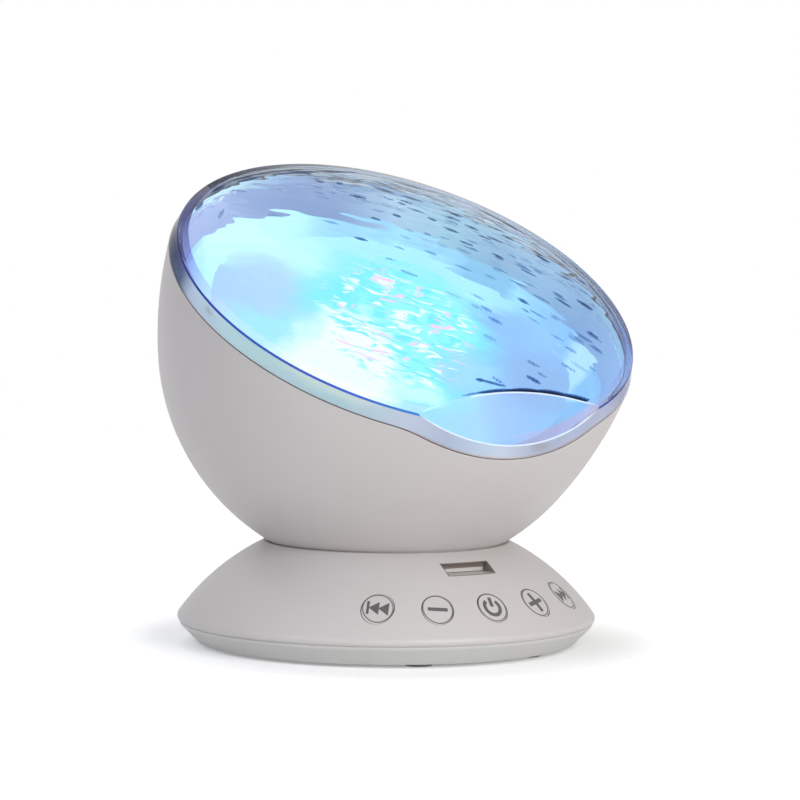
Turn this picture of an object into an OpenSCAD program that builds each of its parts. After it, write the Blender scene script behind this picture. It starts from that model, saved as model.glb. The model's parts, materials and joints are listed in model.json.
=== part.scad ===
// Ocean wave projector: a night light that throws moving water ripples on a wall.
// A round base carries a bowl whose clear rippled cover leans towards the front.
// Millimetres, Z up. The origin is on the base's axis, at the plane it stands on.
// The front, with the keys and the low side of the cover, is at -Y.

/* [Base] */
// How far the rubber feet lift the base off the table
foot_lift = 1; // [0.6:0.1:1.4]
// Radius of the base at its widest edge
base_r = 58.5; // [58.3:0.1:58.8]
// Height of the seam between the upper base and the tray
seam_z = 6.4; // [6.2:0.1:6.6]
// Height of the flat top of the base, where the bowl stands
neck_z = 28.5; // [28.2:0.1:28.7]
// Radius of the curve of the base's flank
flank_r = 63; // [62.8:0.1:63.2]
// Distance from the axis to the centre of that curve
flank_x = 7; // [6.9:0.1:7.1]
// Height of the centre of that curve
flank_z = -28.2; // [-28.4:0.1:-28]
// Radius of the rounding at the widest edge
edge_round = 1.6; // [1.4:0.1:2]
// Wall thickness of the upper base
base_wall = 2; // [1.8:0.1:2.2]
// Radius of the tray at the seam
tray_r = 57.9; // [57.7:0.1:58]
// Radius of the rounding under the seam
tray_round = 1.8; // [1.5:0.1:2.2]
// Thickness of the tray's floor
tray_floor = 2; // [1.8:0.1:2.2]
// Bevel of both shells along their seam
seam_bevel = 0.3; // [0.2:0.05:0.4]

/* [Keys] */
// Height of the middle key's centre on the flank
key_z = 15.4; // [15:0.1:16]
// How fast the row of keys rises to both sides
key_rise = 0.12; // [0:0.02:0.14]
// Angle round the base from one key to the next
key_step = 17.6; // [17:0.1:18]
// Lean of the keys' travel from upright, towards the front
key_lean = 20; // [18:1:21]
// Radius of a key cap
key_r = 4.2; // [4.1:0.05:4.3]
// Gap round a key cap
key_gap = 0.25; // [0.2:0.05:0.3]

/* [Bowl] */
// Height of the centre of the bowl's round underside
bowl_z = 83.5; // [83:0.1:84]
// Radius of the bowl's round underside
bowl_r = 64.2; // [64:0.1:64.4]
// Lean of the clear cover towards the front
lean = 31.5; // [30:0.5:33]
// Radius of the flatter curve of the bowl's rim
rim_curve_r = 123.3; // [122:0.1:125]
// Angle below the bowl's middle plane where the two curves meet
curve_join = 17.7; // [17:0.1:18.5]
// Wall thickness of the bowl
bowl_wall = 2.2; // [2:0.1:2.4]
// Rounding where the rim turns down into its low front
dip_round = 6.5; // [4:0.5:8]
// Distance from the cover's centre to the chord where the rim turns down
dip_chord = 59.3; // [59:0.1:59.6]
// Slope of the rim's low front
dip_slope = 39; // [38:0.5:40]

/* [Cover] */
// Height of the cover's corner above the centre of the bowl
cover_h = 18.95; // [18.5:0.05:19.5]
// Radius of the cover's corner
cover_r = 65.85; // [65.6:0.05:66]
// Height of the cover's upright skirt
skirt_h = 5.35; // [5:0.05:5.6]
// Rise of the domed top above the corner
crown = 10.5; // [9:0.5:12]
// Wall thickness of the cover
cover_wall = 2; // [1.8:0.1:2.2]
// Distance from the cover's centre to the chord where the front facet starts
facet_chord = 58.5; // [58:0.1:59]
// Slope of the front facet below the cover's corner plane
facet_slope = 41.5; // [40:0.5:43]
// How many shallow dimples ripple the cover's top
ripple_count = 80; // [60:10:90]
// Radius of a dimple's outline
ripple_r = 4.6; // [4.2:0.1:4.8]
// Depth of a dimple
ripple_depth = 0.4; // [0.25:0.05:0.45]

/* [Wave drive] */
// Radius of the turning wave disc
wave_disc_r = 52; // [48:1:54]
// Height of the round lenses on the wave disc
lens_rise = 0.5; // [0.3:0.1:0.6]
// Gear module
gear_mod = 0.6; // [0.6]
// Teeth of each pinion
pinion_teeth = 12; // [12]
// Teeth of each idler wheel
wheel_teeth = 40; // [40]
// Teeth of the output gear
output_teeth = 48; // [48]

/* [Hidden] */
$fn = 96;
small_fn = 48;
gap = 0.1;
clear = 0.05;
far = 200;
weld = 0.01;

// Screws: case screws hold shells and plates, board screws hold boards and gears
case_shank_r = 1.3;
case_head = [2.7, 1.2];
case_thread_r = 1.35;
case_hole_r = 1.7;
board_shank_r = 0.9;
board_head = [2, 1];
board_thread_r = 0.95;
board_hole_r = 1.1;
screw_slot_w = 0.5;

// Base
edge_x = base_r - edge_round;
edge_z = flank_z + sqrt(pow(flank_r - edge_round, 2) - pow(edge_x - flank_x, 2));
edge_angle = atan2(edge_z - flank_z, edge_x - flank_x);
edge_drop = asin((edge_z - seam_z - seam_bevel) / edge_round);
edge_low_x = edge_x + edge_round * cos(edge_drop);
top_t = 2;
tray_top = foot_lift + tray_floor;
tray_slant = 45;
tongue_h = 1.2;
tongue_t = 1.1;
tongue_r = base_r - base_wall - 0.3;
tongue_bay = [92, 40];
tray_post_r = 3.2;
tray_head_h = 1;
tray_sink_r = 3;
tray_post_ring = 44;
tray_post_angles = [-130, -62, 62, 130];
foot_r = 4;
foot_sink = 0.6;
foot_ring = 47;
foot_angles = [22, 158, 202, 338];
speaker_r = 20;
speaker_h = 7.4;
speaker_ring_t = 1.8;
speaker_ring_h = 3;
grille_w = 1.6;
grille_pitch = 3.6;
grille_r = 17;
grille_last = 4;
cable_hole_r = 7;
neck_screw_r = 24;
neck_screw_angles = [90, 210, 330];
// Socket recess in the back of the base
recess_w = 34;
recess_y = 47.5;
recess_z = [8.4, 17.5];
recess_wall = 2;
board_z = 7.4;
board_t = 1.6;
board_size = [52, 20];
board_y = 25;
board_posts = [for (x = [-22, 22], y = [28, 42]) [x, y]];
standoff_r = 2.6;
jack_x = -9;
jack_bore_r = 1.8;
jack_depth = 12;
jack_h = 5;
jack_nose_r = 3;
jack_z = board_z + board_t + jack_h / 2;
power_x = 9;
power_size = [7.6, 6, 2.9];
power_wall = 0.4;
power_tongue = [4.4, 4, 0.7];
jack_body = [8, 12, jack_h];

// Keys
key_count = 5;
key_flange_r = 5.4;
key_flange_t = 0.9;
key_flange_gap = 0.15;
key_stem_r = 1.3;
key_board_t = 1.2;
key_board_top = 21.5;
key_board_mid = 7.5;
key_board_out = 54;
key_board_in = 44;
key_board_half = 34.5;
key_board_back = -26;
key_screw = [22.5, -34.8];
switch_w = 4.2;
switch_h = 1.4;
plunger_r = 1.1;
plunger_top = 23.7;
plunger_h = 1.45;

// Receiver window above the middle key
window_w = 15.4;
window_z = [23.1, 26.1];
window_back = -35;
window_wall = 1.5;
window_pane = [0.25, 1.6];
ir_board_y = -31.6;
ir_board_size = [16, 1.2, 7.6];
ir_board_low = 18.6;
ir_guide = [2.4, 3.4, 8];
ir_eye_r = 1.2;

// Bowl, in its own leaning frame: the origin is the centre of the round underside
join_c = rim_curve_r - bowl_r;
rim_c = [-join_c * cos(curve_join), join_c * sin(curve_join)];
rim_h = cover_h - skirt_h;
cover_corner = 0.9;
dome_r = (pow(cover_r - cover_corner, 2) + pow(crown, 2)) / (2 * crown);
bowl_floor = 2.2;
rebate_t = 1.1;
rebate_h = 2.6;
neck_boss_r = 3;
neck_boss_top = 37;
neck_seat_r = 32.8;
neck_groove = 0.4;

ripple_reach = 57;
ripple_turn = 137.5;

// Lamp head inside the bowl
frame_r = 57;
frame_top = -14;
frame_t = 2;
frame_post_ring = 50;
frame_post_r = 3.4;
frame_post_angles = [45, 135, 225, 315];
frame_hole_r = 1.5;
reflector_t = 1.2;
led_board_r = 34;
led_board_t = 1.6;
led_r = 2.5;
led_h = 6;
// Each ring of lamps: distance from the centre, how many
led_rings = [[27, 8], [14, 4]];
wave_disc_h = 1;
wave_disc_t = 2;
disc_lens_r = 4;
// Each ring of lenses on the disc: distance from the centre, how many
disc_lens_rings = [[11, 6], [21, 12], [31, 18], [41, 24]];

// Wave drive, all along the leaning axis
shaft_r = 1.5;
shaft_low = -31.2;
bush_r = 3.2;
pin_r = 0.8;
pin_top = -14.7;
collar_r = 2;
motor_shaft_r = 1;
motor_shaft_top = -24.2;
plate_top = -29;
plate_t = 2;
plate_r = 26;
plate_c = [-6, 5];
plate_pillar_ring = 23.3;
plate_pillar_angles = [20, 120, 280];
plate_pillar_r = 2.4;
pillar_top = -18;
socket_r = 3.2;
pressure_angle = 20;
tooth_slack = 0.05;
pinion_add = 1;
wheel_add = 0.7;
root_gap = 0.25;
pinion_pitch_r = gear_mod * pinion_teeth / 2;
output_step = gear_mod * (output_teeth + pinion_teeth) / 2;
wheel_step = gear_mod * (wheel_teeth + pinion_teeth) / 2;
second_dir = 90;
first_dir = 210;
motor_dir = 266;
second_at = output_step * [cos(second_dir), sin(second_dir)];
first_at = second_at + wheel_step * [cos(first_dir), sin(first_dir)];
motor_at = first_at + wheel_step * [cos(motor_dir), sin(motor_dir)];
motor_r = 12.2;
motor_h = 12.3;
motor_ears = 8.5;
// Lower face and height of each gear along the axis
motor_pinion_at = [-27.8, 3.5];
first_wheel_at = [-26.8, 2.2];
first_pinion_h = 3.6;
second_wheel_at = [-23.5, 2.2];
second_pinion_h = 3.8;
output_at = [-20.5, 2.5];
output_hub = [-28.8, 11.1];

// Points along an arc, from angle a0 to a1
function arc(cx, cy, r, a0, a1, n) =
    [for (i = [0:n]) let (a = a0 + (a1 - a0) * i / n) [cx + r * cos(a), cy + r * sin(a)]];

// A place given as an angle from the front and a distance from the axis
function from_front(angle, dist) = [dist * sin(angle), -dist * cos(angle)];

// Radius of the base's flank at height z
function flank_at(z) = flank_x + sqrt(pow(flank_r, 2) - pow(z - flank_z, 2));

// Half section of the upper base, drawn in by inset
function base_section(inset) =
    let (top = neck_z - (inset > 0 ? top_t : 0), r = flank_r - inset,
        start = inset > 0 ? acos((base_r - inset - flank_x) / r) : edge_angle)
    concat(inset > 0 ? [[0, seam_z - 1], [base_r - inset, seam_z - 1]]
        : concat([[0, seam_z], [edge_low_x - seam_bevel, seam_z]],
            arc(edge_x, edge_z, edge_round, -edge_drop, edge_angle, 8)),
        arc(flank_x, flank_z, r, start, asin((top - flank_z) / r), 20),
        [[0, top]]);

// Half section of the bowl, drawn in by inset, up to height top
function bowl_section(inset, top) =
    concat(arc(0, 0, bowl_r - inset, -90, -curve_join, 28),
        arc(rim_c[0], rim_c[1], rim_curve_r - inset, -curve_join,
            asin((top - rim_c[1]) / (rim_curve_r - inset)), 12),
        [[0, top]]);

// Half section of the clear cover, drawn in by inset, from height low
function cover_section(inset, low) =
    let (corner = cover_corner, cx = cover_r - corner, cy = cover_h - corner,
        start = acos(cx / dome_r))
    concat([[0, low]],
        [for (i = [0:4]) let (h = low + (rim_h - low) * i / 4) [bowl_at(h) - 0.15 - inset, h]],
        inset > 0 ? [[cover_r - inset, cover_h - inset]] : arc(cx, cy, corner, 0, start, 4),
        arc(0, cover_h + crown - dome_r, dome_r - inset, start + 0.6, 90, 24));

// Outer radius of the bowl at height h of its leaning frame
function bowl_at(h) = rim_c[0] + sqrt(pow(rim_curve_r, 2) - pow(h - rim_c[1], 2));

// Middle of a key on the flank, and its turn round the base
function key_angle(i) = (i - (key_count - 1) / 2) * key_step;
function key_height(i) = key_z + key_rise * pow(i - (key_count - 1) / 2, 2);
function key_at(i) = let (z = key_height(i)) concat(from_front(key_angle(i), flank_at(z)), z);

module base_solid(inset) {
    rotate_extrude() polygon(base_section(inset));
}

module leaning() {
    translate([0, 0, bowl_z]) rotate([lean, 0, 0]) children();
}

module bowl_solid(inset, top = rim_h + 6) {
    rotate_extrude() polygon(bowl_section(inset, top));
}

// All that lies under a level plane at height h and, from the chord on, under the front slope
module under_planes(h, chord) {
    intersection() {
        translate([-far / 2, -far / 2, h - far]) cube([far, far, far]);
        translate([0, -chord, h]) rotate([facet_slope, 0, 0])
            translate([-far / 2, -far / 2, -far]) cube([far, far, far]);
    }
}

// The bowl's side of the line between bowl and cover, raised by lift
module bowl_zone(lift = 0) {
    start = -dip_chord + dip_round * tan(dip_slope / 2);
    fall = far * [-cos(dip_slope), -sin(dip_slope)];
    h = rim_h + lift;
    rotate([90, 0, 90]) translate([0, 0, -far / 2]) linear_extrude(far)
        polygon(concat([[far, h - far], [far, h]],
            arc(start, h - dip_round, dip_round, 90, 90 + dip_slope, 6),
            [[-dip_chord, h] + fall, [-far, h - far]]));
}

// A pan head screw, head down at z = 0, shank up
module screw(shank_r, length, head_r, head_h) {
    slot_w = screw_slot_w;
    difference() {
        cylinder(r = head_r, h = head_h, $fn = small_fn);
        for (a = [0, 90]) rotate(a) translate([-head_r * 0.6, -slot_w / 2, -1])
            cube([head_r * 1.2, slot_w, 1 + head_h * 0.5]);
    }
    translate([0, 0, head_h - weld]) cylinder(r = shank_r, h = length, $fn = small_fn);
}

module case_screw(length, head_h = case_head[1]) {
    screw(case_shank_r, length, case_head[0], head_h);
}

module board_screw(length) {
    screw(board_shank_r, length, board_head[0], board_head[1]);
}

module base_shell() color("gainsboro") {
    difference() {
        union() {
            difference() {
                base_solid(0);
                base_solid(base_wall);
            }
            // Posts for the tray's screws, and walls of the socket recess and the window
            intersection() {
                union() {
                    for (a = tray_post_angles) translate(concat(from_front(a, tray_post_ring), tray_top))
                        cylinder(r = tray_post_r, h = neck_z, $fn = small_fn);
                    translate([-recess_w / 2 - recess_wall, recess_y - recess_wall, seam_z])
                        cube([recess_w + 2 * recess_wall, 20, recess_z[1] + recess_wall - seam_z]);
                    translate([-window_w / 2 - window_wall, -50, window_z[0] - window_wall])
                        cube([window_w + 2 * window_wall, 50 + window_back,
                            window_z[1] - window_z[0] + 2 * window_wall]);
                    for (s = [-1, 1]) translate([s * (ir_board_size[0] / 2 + 0.4) - ir_guide[0] / 2,
                        ir_board_y - 1.1, ir_board_low + 0.4]) cube(ir_guide);
                }
                union() {
                    base_solid(base_wall / 2);
                    translate([0, 0, tray_top]) cylinder(r = 50, h = seam_z);
                }
            }
        }
        for (a = tray_post_angles) translate(concat(from_front(a, tray_post_ring), tray_top - 1))
            cylinder(r = case_thread_r, h = 13, $fn = small_fn);
        translate([0, 0, neck_z - 5]) cylinder(r = cable_hole_r, h = 10);
        for (a = neck_screw_angles) rotate(a) translate([neck_screw_r, 0, neck_z - 5])
            cylinder(r = case_hole_r, h = 10, $fn = small_fn);
        // Socket recess, jack hole and power slot
        translate([-recess_w / 2, recess_y, recess_z[0]])
            cube([recess_w, 30, recess_z[1] - recess_z[0]]);
        translate([jack_x, recess_y - 5, jack_z]) rotate([-90, 0, 0])
            cylinder(r = jack_nose_r + gap, h = 10, $fn = small_fn);
        translate([power_x - power_size[0] / 2 - gap, recess_y - 5, board_z + board_t - gap])
            cube([power_size[0] + 2 * gap, 10, power_size[2] + 2 * gap]);
        // Receiver window
        translate([-window_w / 2, -60, window_z[0]])
            cube([window_w, 60 + window_back + 1, window_z[1] - window_z[0]]);
        translate([-ir_board_size[0] / 2 - gap / 2, ir_board_y - gap / 2, ir_board_low - 0.6])
            cube(ir_board_size + [gap, gap, 0.9]);
        for (i = [0:key_count - 1]) key_frame(i)
            cylinder(r = key_r + key_gap, h = 20, center = true, $fn = small_fn);
    }
}

module key_frame(i) {
    translate(key_at(i)) rotate([key_lean, 0, 0]) children();
}

// Same lean as the keys, with the origin at the part's own origin
module key_plane() {
    rotate([key_lean, 0, 0]) children();
}

// Where key i's axis crosses that leaning plane
function key_mark(i) = let (p = key_at(i))
    [p[0], p[1] * cos(key_lean) + p[2] * sin(key_lean)];
function key_top(i) = let (p = key_at(i)) -p[1] * sin(key_lean) + p[2] * cos(key_lean);

module tray_outline() {
    round_x = tray_r - tray_round;
    low_x = round_x + tray_round * cos(tray_slant);
    low_z = seam_z - tray_round * sin(tray_slant);
    bevel_angle = asin(seam_bevel / tray_round);
    polygon(concat([[0, foot_lift], [low_x - (low_z - foot_lift) / tan(tray_slant), foot_lift]],
        arc(round_x, seam_z, tray_round, -tray_slant, -bevel_angle, 6),
        [[tray_r - seam_bevel, seam_z], [0, seam_z]]));
}

// Lip that centres the upper base on the tray, open at the keys and at the sockets
module tongue() {
    difference() {
        translate([0, 0, seam_z - 0.5]) difference() {
            cylinder(r = tongue_r, h = tongue_h + 0.5);
            translate([0, 0, -1]) cylinder(r = tongue_r - tongue_t, h = tongue_h + 3);
        }
        translate([-tongue_bay[0] / 2, -20 - tongue_bay[1], seam_z])
            cube(concat(tongue_bay, 5));
        translate([-recess_w / 2 - recess_wall - 0.5, 40, seam_z])
            cube([recess_w + 2 * recess_wall + 1, 20, 5]);
    }
}

module base_tray() color("gainsboro") {
    inner_r = tongue_r - tongue_t;
    difference() {
        union() {
            difference() {
                union() {
                    rotate_extrude() tray_outline();
                    tongue();
                }
                rotate_extrude() polygon([[0, tray_top], [inner_r - 1.7, tray_top],
                    [inner_r, tray_top + 1.7], [inner_r, seam_z + 5], [0, seam_z + 5]]);
            }
            // Ring round the speaker, standoffs of the boards
            translate([0, 0, tray_top - 0.5]) difference() {
                cylinder(r = speaker_r + speaker_ring_t, h = speaker_ring_h);
                translate([0, 0, -1]) cylinder(r = speaker_r + 0.3, h = speaker_ring_h + 2);
            }
            for (p = board_posts) translate(concat(p, tray_top - 0.5))
                cylinder(r = standoff_r, h = board_z - tray_top + 0.5, $fn = small_fn);
            intersection() {
                key_plane() for (s = [-1, 1]) translate([s * key_screw[0], key_screw[1], 10])
                    cylinder(r = standoff_r, h = key_board_top - key_board_t - 10, $fn = small_fn);
                translate([0, 0, tray_top - 0.5]) cylinder(r = 53, h = 20);
            }
        }
        for (p = board_posts) translate(concat(p, tray_top))
            cylinder(r = board_thread_r, h = 8, $fn = small_fn);
        key_plane() for (s = [-1, 1]) translate([s * key_screw[0], key_screw[1], 17])
            cylinder(r = board_thread_r, h = 8, $fn = small_fn);
        // Screw holes, sunk for the heads
        for (a = tray_post_angles) translate(concat(from_front(a, tray_post_ring), 0)) {
            cylinder(r = case_hole_r, h = 10, $fn = small_fn);
            cylinder(r = tray_sink_r, h = foot_lift + tray_head_h + 0.1, $fn = small_fn);
        }
        for (a = foot_angles) translate(concat(from_front(a, foot_ring), 0))
            cylinder(r = foot_r + gap, h = foot_lift + foot_sink, $fn = small_fn);
        // Sound slots, cut to a round field
        for (i = [-grille_last:grille_last])
            let (half = sqrt(pow(grille_r, 2) - pow(i * grille_pitch, 2)))
            translate([-half, i * grille_pitch - grille_w / 2, 0]) cube([2 * half, grille_w, 5]);
    }
}

module rubber_feet() color("dimgray") {
    for (a = foot_angles) translate(concat(from_front(a, foot_ring), 0))
        rotate_extrude($fn = small_fn) polygon([[0, 0], [foot_r - 0.4, 0], [foot_r, 0.4],
            [foot_r, foot_lift + foot_sink], [0, foot_lift + foot_sink]]);
}

module tray_screws() color("silver") {
    for (a = tray_post_angles) translate(concat(from_front(a, tray_post_ring), foot_lift + 0.1))
        case_screw(10, tray_head_h);
}

module speaker_frame() color("dimgray") {
    translate([0, 0, tray_top]) rotate_extrude() polygon([[17.5, 0], [speaker_r, 0],
        [speaker_r, 1.2], [18.6, 1.2], [12.6, 6.4], [12.6, speaker_h], [7, speaker_h], [7, 6.4],
        [11.6, 6.4], [17.5, 1.2]]);
}

module speaker_cone() color("black") {
    translate([0, 0, tray_top]) rotate_extrude() polygon([[17.45, 0.4], [17.45, 0.9],
        [16, 1.1], [7, 5.2], [6, 4.4], [0, 3], [0, 2.6], [6.2, 4], [7.2, 4.6], [15.8, 0.6]]);
}

module speaker_magnet() color("silver") {
    translate([0, 0, tray_top + speaker_h]) {
        cylinder(r = 10.5, h = 1);
        translate([0, 0, 0.9]) cylinder(r = 9.8, h = 3.2);
        translate([0, 0, 4]) cylinder(r = 10.5, h = 1);
    }
}

module main_board() color("seagreen") {
    difference() {
        translate([-board_size[0] / 2, board_y, board_z]) cube([board_size[0], board_size[1], board_t]);
        for (p = board_posts) translate(concat(p, board_z - 1))
            cylinder(r = board_hole_r, h = 5, $fn = small_fn);
    }
    // Sound chip, regulator and two can capacitors
    translate([-3, 29, board_z + board_t - weld]) cube([10, 6, 1.6]);
    translate([9.5, 29, board_z + board_t - weld]) cube([5, 4, 1.5]);
    for (x = [-17.5, 17.5]) translate([x, 35, board_z + board_t - weld])
        cylinder(r = 2.5, h = 7, $fn = small_fn);
}

module power_socket() color("silver") {
    translate([power_x - power_size[0] / 2, recess_y - power_size[1], board_z + board_t])
        difference() {
            cube(power_size);
            translate([power_wall, 1, power_wall])
                cube([power_size[0] - 2 * power_wall, 8, power_size[2] - 2 * power_wall]);
        }
    translate([power_x - power_tongue[0] / 2, recess_y - power_size[1] + 0.5,
        board_z + board_t + (power_size[2] - power_tongue[2]) / 2]) cube(power_tongue);
}

module audio_jack() color("black") {
    difference() {
        union() {
            translate([jack_x - jack_body[0] / 2, recess_y - recess_wall - jack_body[1], board_z + board_t])
                cube(jack_body - [0, gap, 0]);
            translate([jack_x, recess_y - recess_wall - 0.3, jack_z]) rotate([-90, 0, 0])
                cylinder(r = jack_nose_r, h = recess_wall + 0.3, $fn = small_fn);
        }
        translate([jack_x, recess_y - jack_depth, jack_z]) rotate([-90, 0, 0])
            cylinder(r = jack_bore_r, h = jack_depth + 1, $fn = small_fn);
    }
}

module board_screws() color("silver") {
    for (p = board_posts) translate(concat(p, board_z + board_t + board_head[1]))
        rotate([180, 0, 0]) board_screw(4.4);
    key_plane() for (s = [-1, 1])
        translate([s * key_screw[0], key_screw[1], key_board_top + board_head[1]])
            rotate([180, 0, 0]) board_screw(3.6);
}

module key_board() color("seagreen") {
    key_plane() translate([0, 0, key_board_top - key_board_t]) difference() {
        intersection() {
            translate([0, key_board_mid, 0]) difference() {
                cylinder(r = key_board_out, h = key_board_t);
                translate([0, 0, -1]) cylinder(r = key_board_in, h = 5);
            }
            translate([-key_board_half, -60, -1]) cube([2 * key_board_half, 60 + key_board_back, 5]);
        }
        for (s = [-1, 1]) translate([s * key_screw[0], key_screw[1], -1])
            cylinder(r = board_hole_r, h = 5, $fn = small_fn);
    }
}

module key_switches() color("dimgray") {
    key_plane() for (i = [0:key_count - 1]) translate(concat(key_mark(i), key_board_top))
        difference() {
            translate([-switch_w / 2, -switch_w / 2, 0]) cube([switch_w, switch_w, switch_h]);
            translate([0, 0, 0.2]) cylinder(r = plunger_r + clear, h = 5, $fn = small_fn);
        }
}

module ir_window() color("whitesmoke") {
    low = window_z[0] + window_pane[0];
    tall = window_pane[1];
    translate([-window_w / 2 + gap, window_back - 2, low]) cube([window_w - 2 * gap, 2.4, tall]);
    for (s = [-1, 1]) translate([s * (window_w / 2 - 0.3) - 1.6, window_back, low])
        cube([3.2, 1, tall]);
}

module ir_board() color("seagreen") {
    translate([-ir_board_size[0] / 2, ir_board_y, ir_board_low]) cube(ir_board_size);
}

module ir_receiver() color("black") {
    translate([-3, ir_board_y - 1.6, 20]) cube([6, 1.6, 6]);
    translate([0, ir_board_y - 1.6, 23.6]) sphere(r = ir_eye_r, $fn = small_fn);
}

module bowl_shell() color("gainsboro") {
    difference() {
        union() {
            difference() {
                leaning() intersection() {
                    bowl_solid(0);
                    bowl_zone();
                }
                intersection() {
                    leaning() bowl_solid(bowl_wall);
                    translate([-far / 2, -far / 2, neck_z + bowl_floor]) cube([far, far, far]);
                }
                // Step inside the rim for the cover's lip
                leaning() difference() {
                    bowl_solid(rebate_t);
                    bowl_zone(-rebate_h);
                }
            }
            // Posts under the lamp frame
            leaning() intersection() {
                for (a = frame_post_angles) rotate(a) translate([frame_post_ring, 0, -60])
                    cylinder(r = frame_post_r, h = 60 + frame_top - frame_t, $fn = small_fn);
                bowl_solid(bowl_wall / 2);
            }
            for (a = neck_screw_angles) rotate(a) translate([neck_screw_r, 0, neck_z + 1])
                cylinder(r = neck_boss_r, h = neck_boss_top - neck_z - 1, $fn = small_fn);
        }
        translate([-far / 2, -far / 2, neck_z - far]) cube([far, far, far]);
        // Shadow groove round the foot of the bowl
        translate([0, 0, neck_z - 1]) difference() {
            cylinder(r = 40, h = 1 + neck_groove);
            translate([0, 0, -1]) cylinder(r = neck_seat_r, h = 5);
        }
        translate([0, 0, neck_z - 1]) cylinder(r = cable_hole_r, h = 10);
        for (a = neck_screw_angles) rotate(a) translate([neck_screw_r, 0, neck_z - 1])
            cylinder(r = case_thread_r, h = 8.5, $fn = small_fn);
        leaning() for (a = frame_post_angles) rotate(a)
            translate([frame_post_ring, 0, frame_top - frame_t - 9])
                cylinder(r = case_thread_r, h = 12, $fn = small_fn);
    }
}

module neck_screws() color("silver") {
    for (a = neck_screw_angles) rotate(a)
        translate([neck_screw_r, 0, neck_z - top_t - case_head[1]]) case_screw(8);
}

// Round plate that carries the lamps and the wave drive
module head_frame() color("white") {
    leaning() difference() {
        union() {
            translate([0, 0, frame_top - frame_t]) cylinder(r = frame_r, h = frame_t);
            // Collars that keep the idlers in place, and sockets of the gearbox pillars
            collar(second_at, stack_top(second_wheel_at, second_pinion_h) + gap, frame_top - 1.4);
            collar(first_at, stack_top(first_wheel_at, first_pinion_h) + gap, frame_top - 1.4);
            for (a = plate_pillar_angles) translate(concat(pillar_at(a), pillar_top))
                cylinder(r = socket_r, h = 3, $fn = small_fn);
        }
        for (a = frame_post_angles) rotate(a) translate([frame_post_ring, 0, frame_top - 5])
            cylinder(r = frame_hole_r, h = 8, $fn = small_fn);
        translate([0, 0, frame_top - 6]) cylinder(r = bush_r, h = 10, $fn = small_fn);
        for (p = [second_at, first_at]) translate(concat(p, pin_top - 7.3))
            cylinder(r = pin_r, h = 7.4, $fn = small_fn);
        for (a = plate_pillar_angles) translate(concat(pillar_at(a), pillar_top - 1))
            cylinder(r = board_thread_r, h = 4.5, $fn = small_fn);
    }
}

function pillar_at(a) = plate_c + plate_pillar_ring * [cos(a), sin(a)];

// Upper end of a wheel and the pinion moulded on it
function stack_top(wheel, pinion_h) = wheel[0] + wheel[1] - weld + pinion_h;

// Round spacer on an idler's pin, from height low to high
module collar(at, low, high) {
    translate(concat(at, low)) cylinder(r = collar_r, h = high - low, $fn = small_fn);
}

module frame_screws() color("silver") {
    leaning() for (a = frame_post_angles) rotate(a)
        translate([frame_post_ring, 0, frame_top + reflector_t + case_head[1]])
            rotate([180, 0, 0]) case_screw(10);
}

module reflector() color("white") {
    leaning() difference() {
        rotate_extrude() polygon(concat([[35, frame_top], [54, frame_top]],
            arc(24, 6, 37.2, -32.5, -3, 8), [[60, 4]],
            arc(24, 6, 36, -3, -32, 8), [[53.4, frame_top + reflector_t], [35, frame_top + reflector_t]]));
        for (a = frame_post_angles) rotate(a) translate([frame_post_ring, 0, frame_top - 1])
            cylinder(r = frame_hole_r, h = 5, $fn = small_fn);
    }
}

module led_board() color("white") {
    leaning() difference() {
        translate([0, 0, frame_top]) cylinder(r = led_board_r, h = led_board_t);
        translate([0, 0, frame_top - 1]) cylinder(r = 4, h = 5, $fn = small_fn);
    }
}

module projection_leds() color("lightcyan") {
    leaning() for (ring = led_rings, i = [0:ring[1] - 1]) rotate((i + 0.5) * 360 / ring[1])
        translate([ring[0], 0, frame_top + led_board_t]) {
            cylinder(r = led_r + 0.4, h = 1, $fn = small_fn);
            cylinder(r = led_r, h = led_h, $fn = small_fn);
            translate([0, 0, led_h]) sphere(r = led_r, $fn = small_fn);
        }
}

// Lower plate of the gearbox, with pillars up to the lamp frame
module gearbox_plate() color("white") {
    leaning() difference() {
        union() {
            translate(concat(plate_c, plate_top - plate_t)) cylinder(r = plate_r, h = plate_t);
            for (a = plate_pillar_angles) translate(concat(pillar_at(a), plate_top - 0.5))
                cylinder(r = plate_pillar_r, h = pillar_top - plate_top + 0.5, $fn = small_fn);
            collar(second_at, plate_top - 0.5, second_wheel_at[0] - gap);
            collar(first_at, plate_top - 0.5, first_wheel_at[0] - gap);
        }
        for (a = plate_pillar_angles) translate(concat(pillar_at(a), plate_top - 5))
            cylinder(r = board_shank_r + gap, h = 20, $fn = small_fn);
        translate([0, 0, plate_top - 5]) cylinder(r = bush_r, h = 10, $fn = small_fn);
        for (p = [second_at, first_at]) translate(concat(p, plate_top - 1))
            cylinder(r = pin_r, h = 10, $fn = small_fn);
        translate(concat(motor_at, plate_top - 5)) cylinder(r = 3.2, h = 10, $fn = small_fn);
        for (s = [-1, 1]) translate(concat(motor_at + [motor_ears * s, 0], plate_top - 5))
            cylinder(r = board_hole_r, h = 10, $fn = small_fn);
    }
}

module gearbox_screws() color("silver") {
    leaning() for (a = plate_pillar_angles)
        translate(concat(pillar_at(a), plate_top - plate_t - board_head[1])) board_screw(14.8);
}

module idler_pins() color("silver") {
    leaning() for (p = [second_at, first_at]) translate(concat(p, plate_top - 1))
        cylinder(r = pin_r, h = pin_top - plate_top + 1, $fn = small_fn);
}

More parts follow.
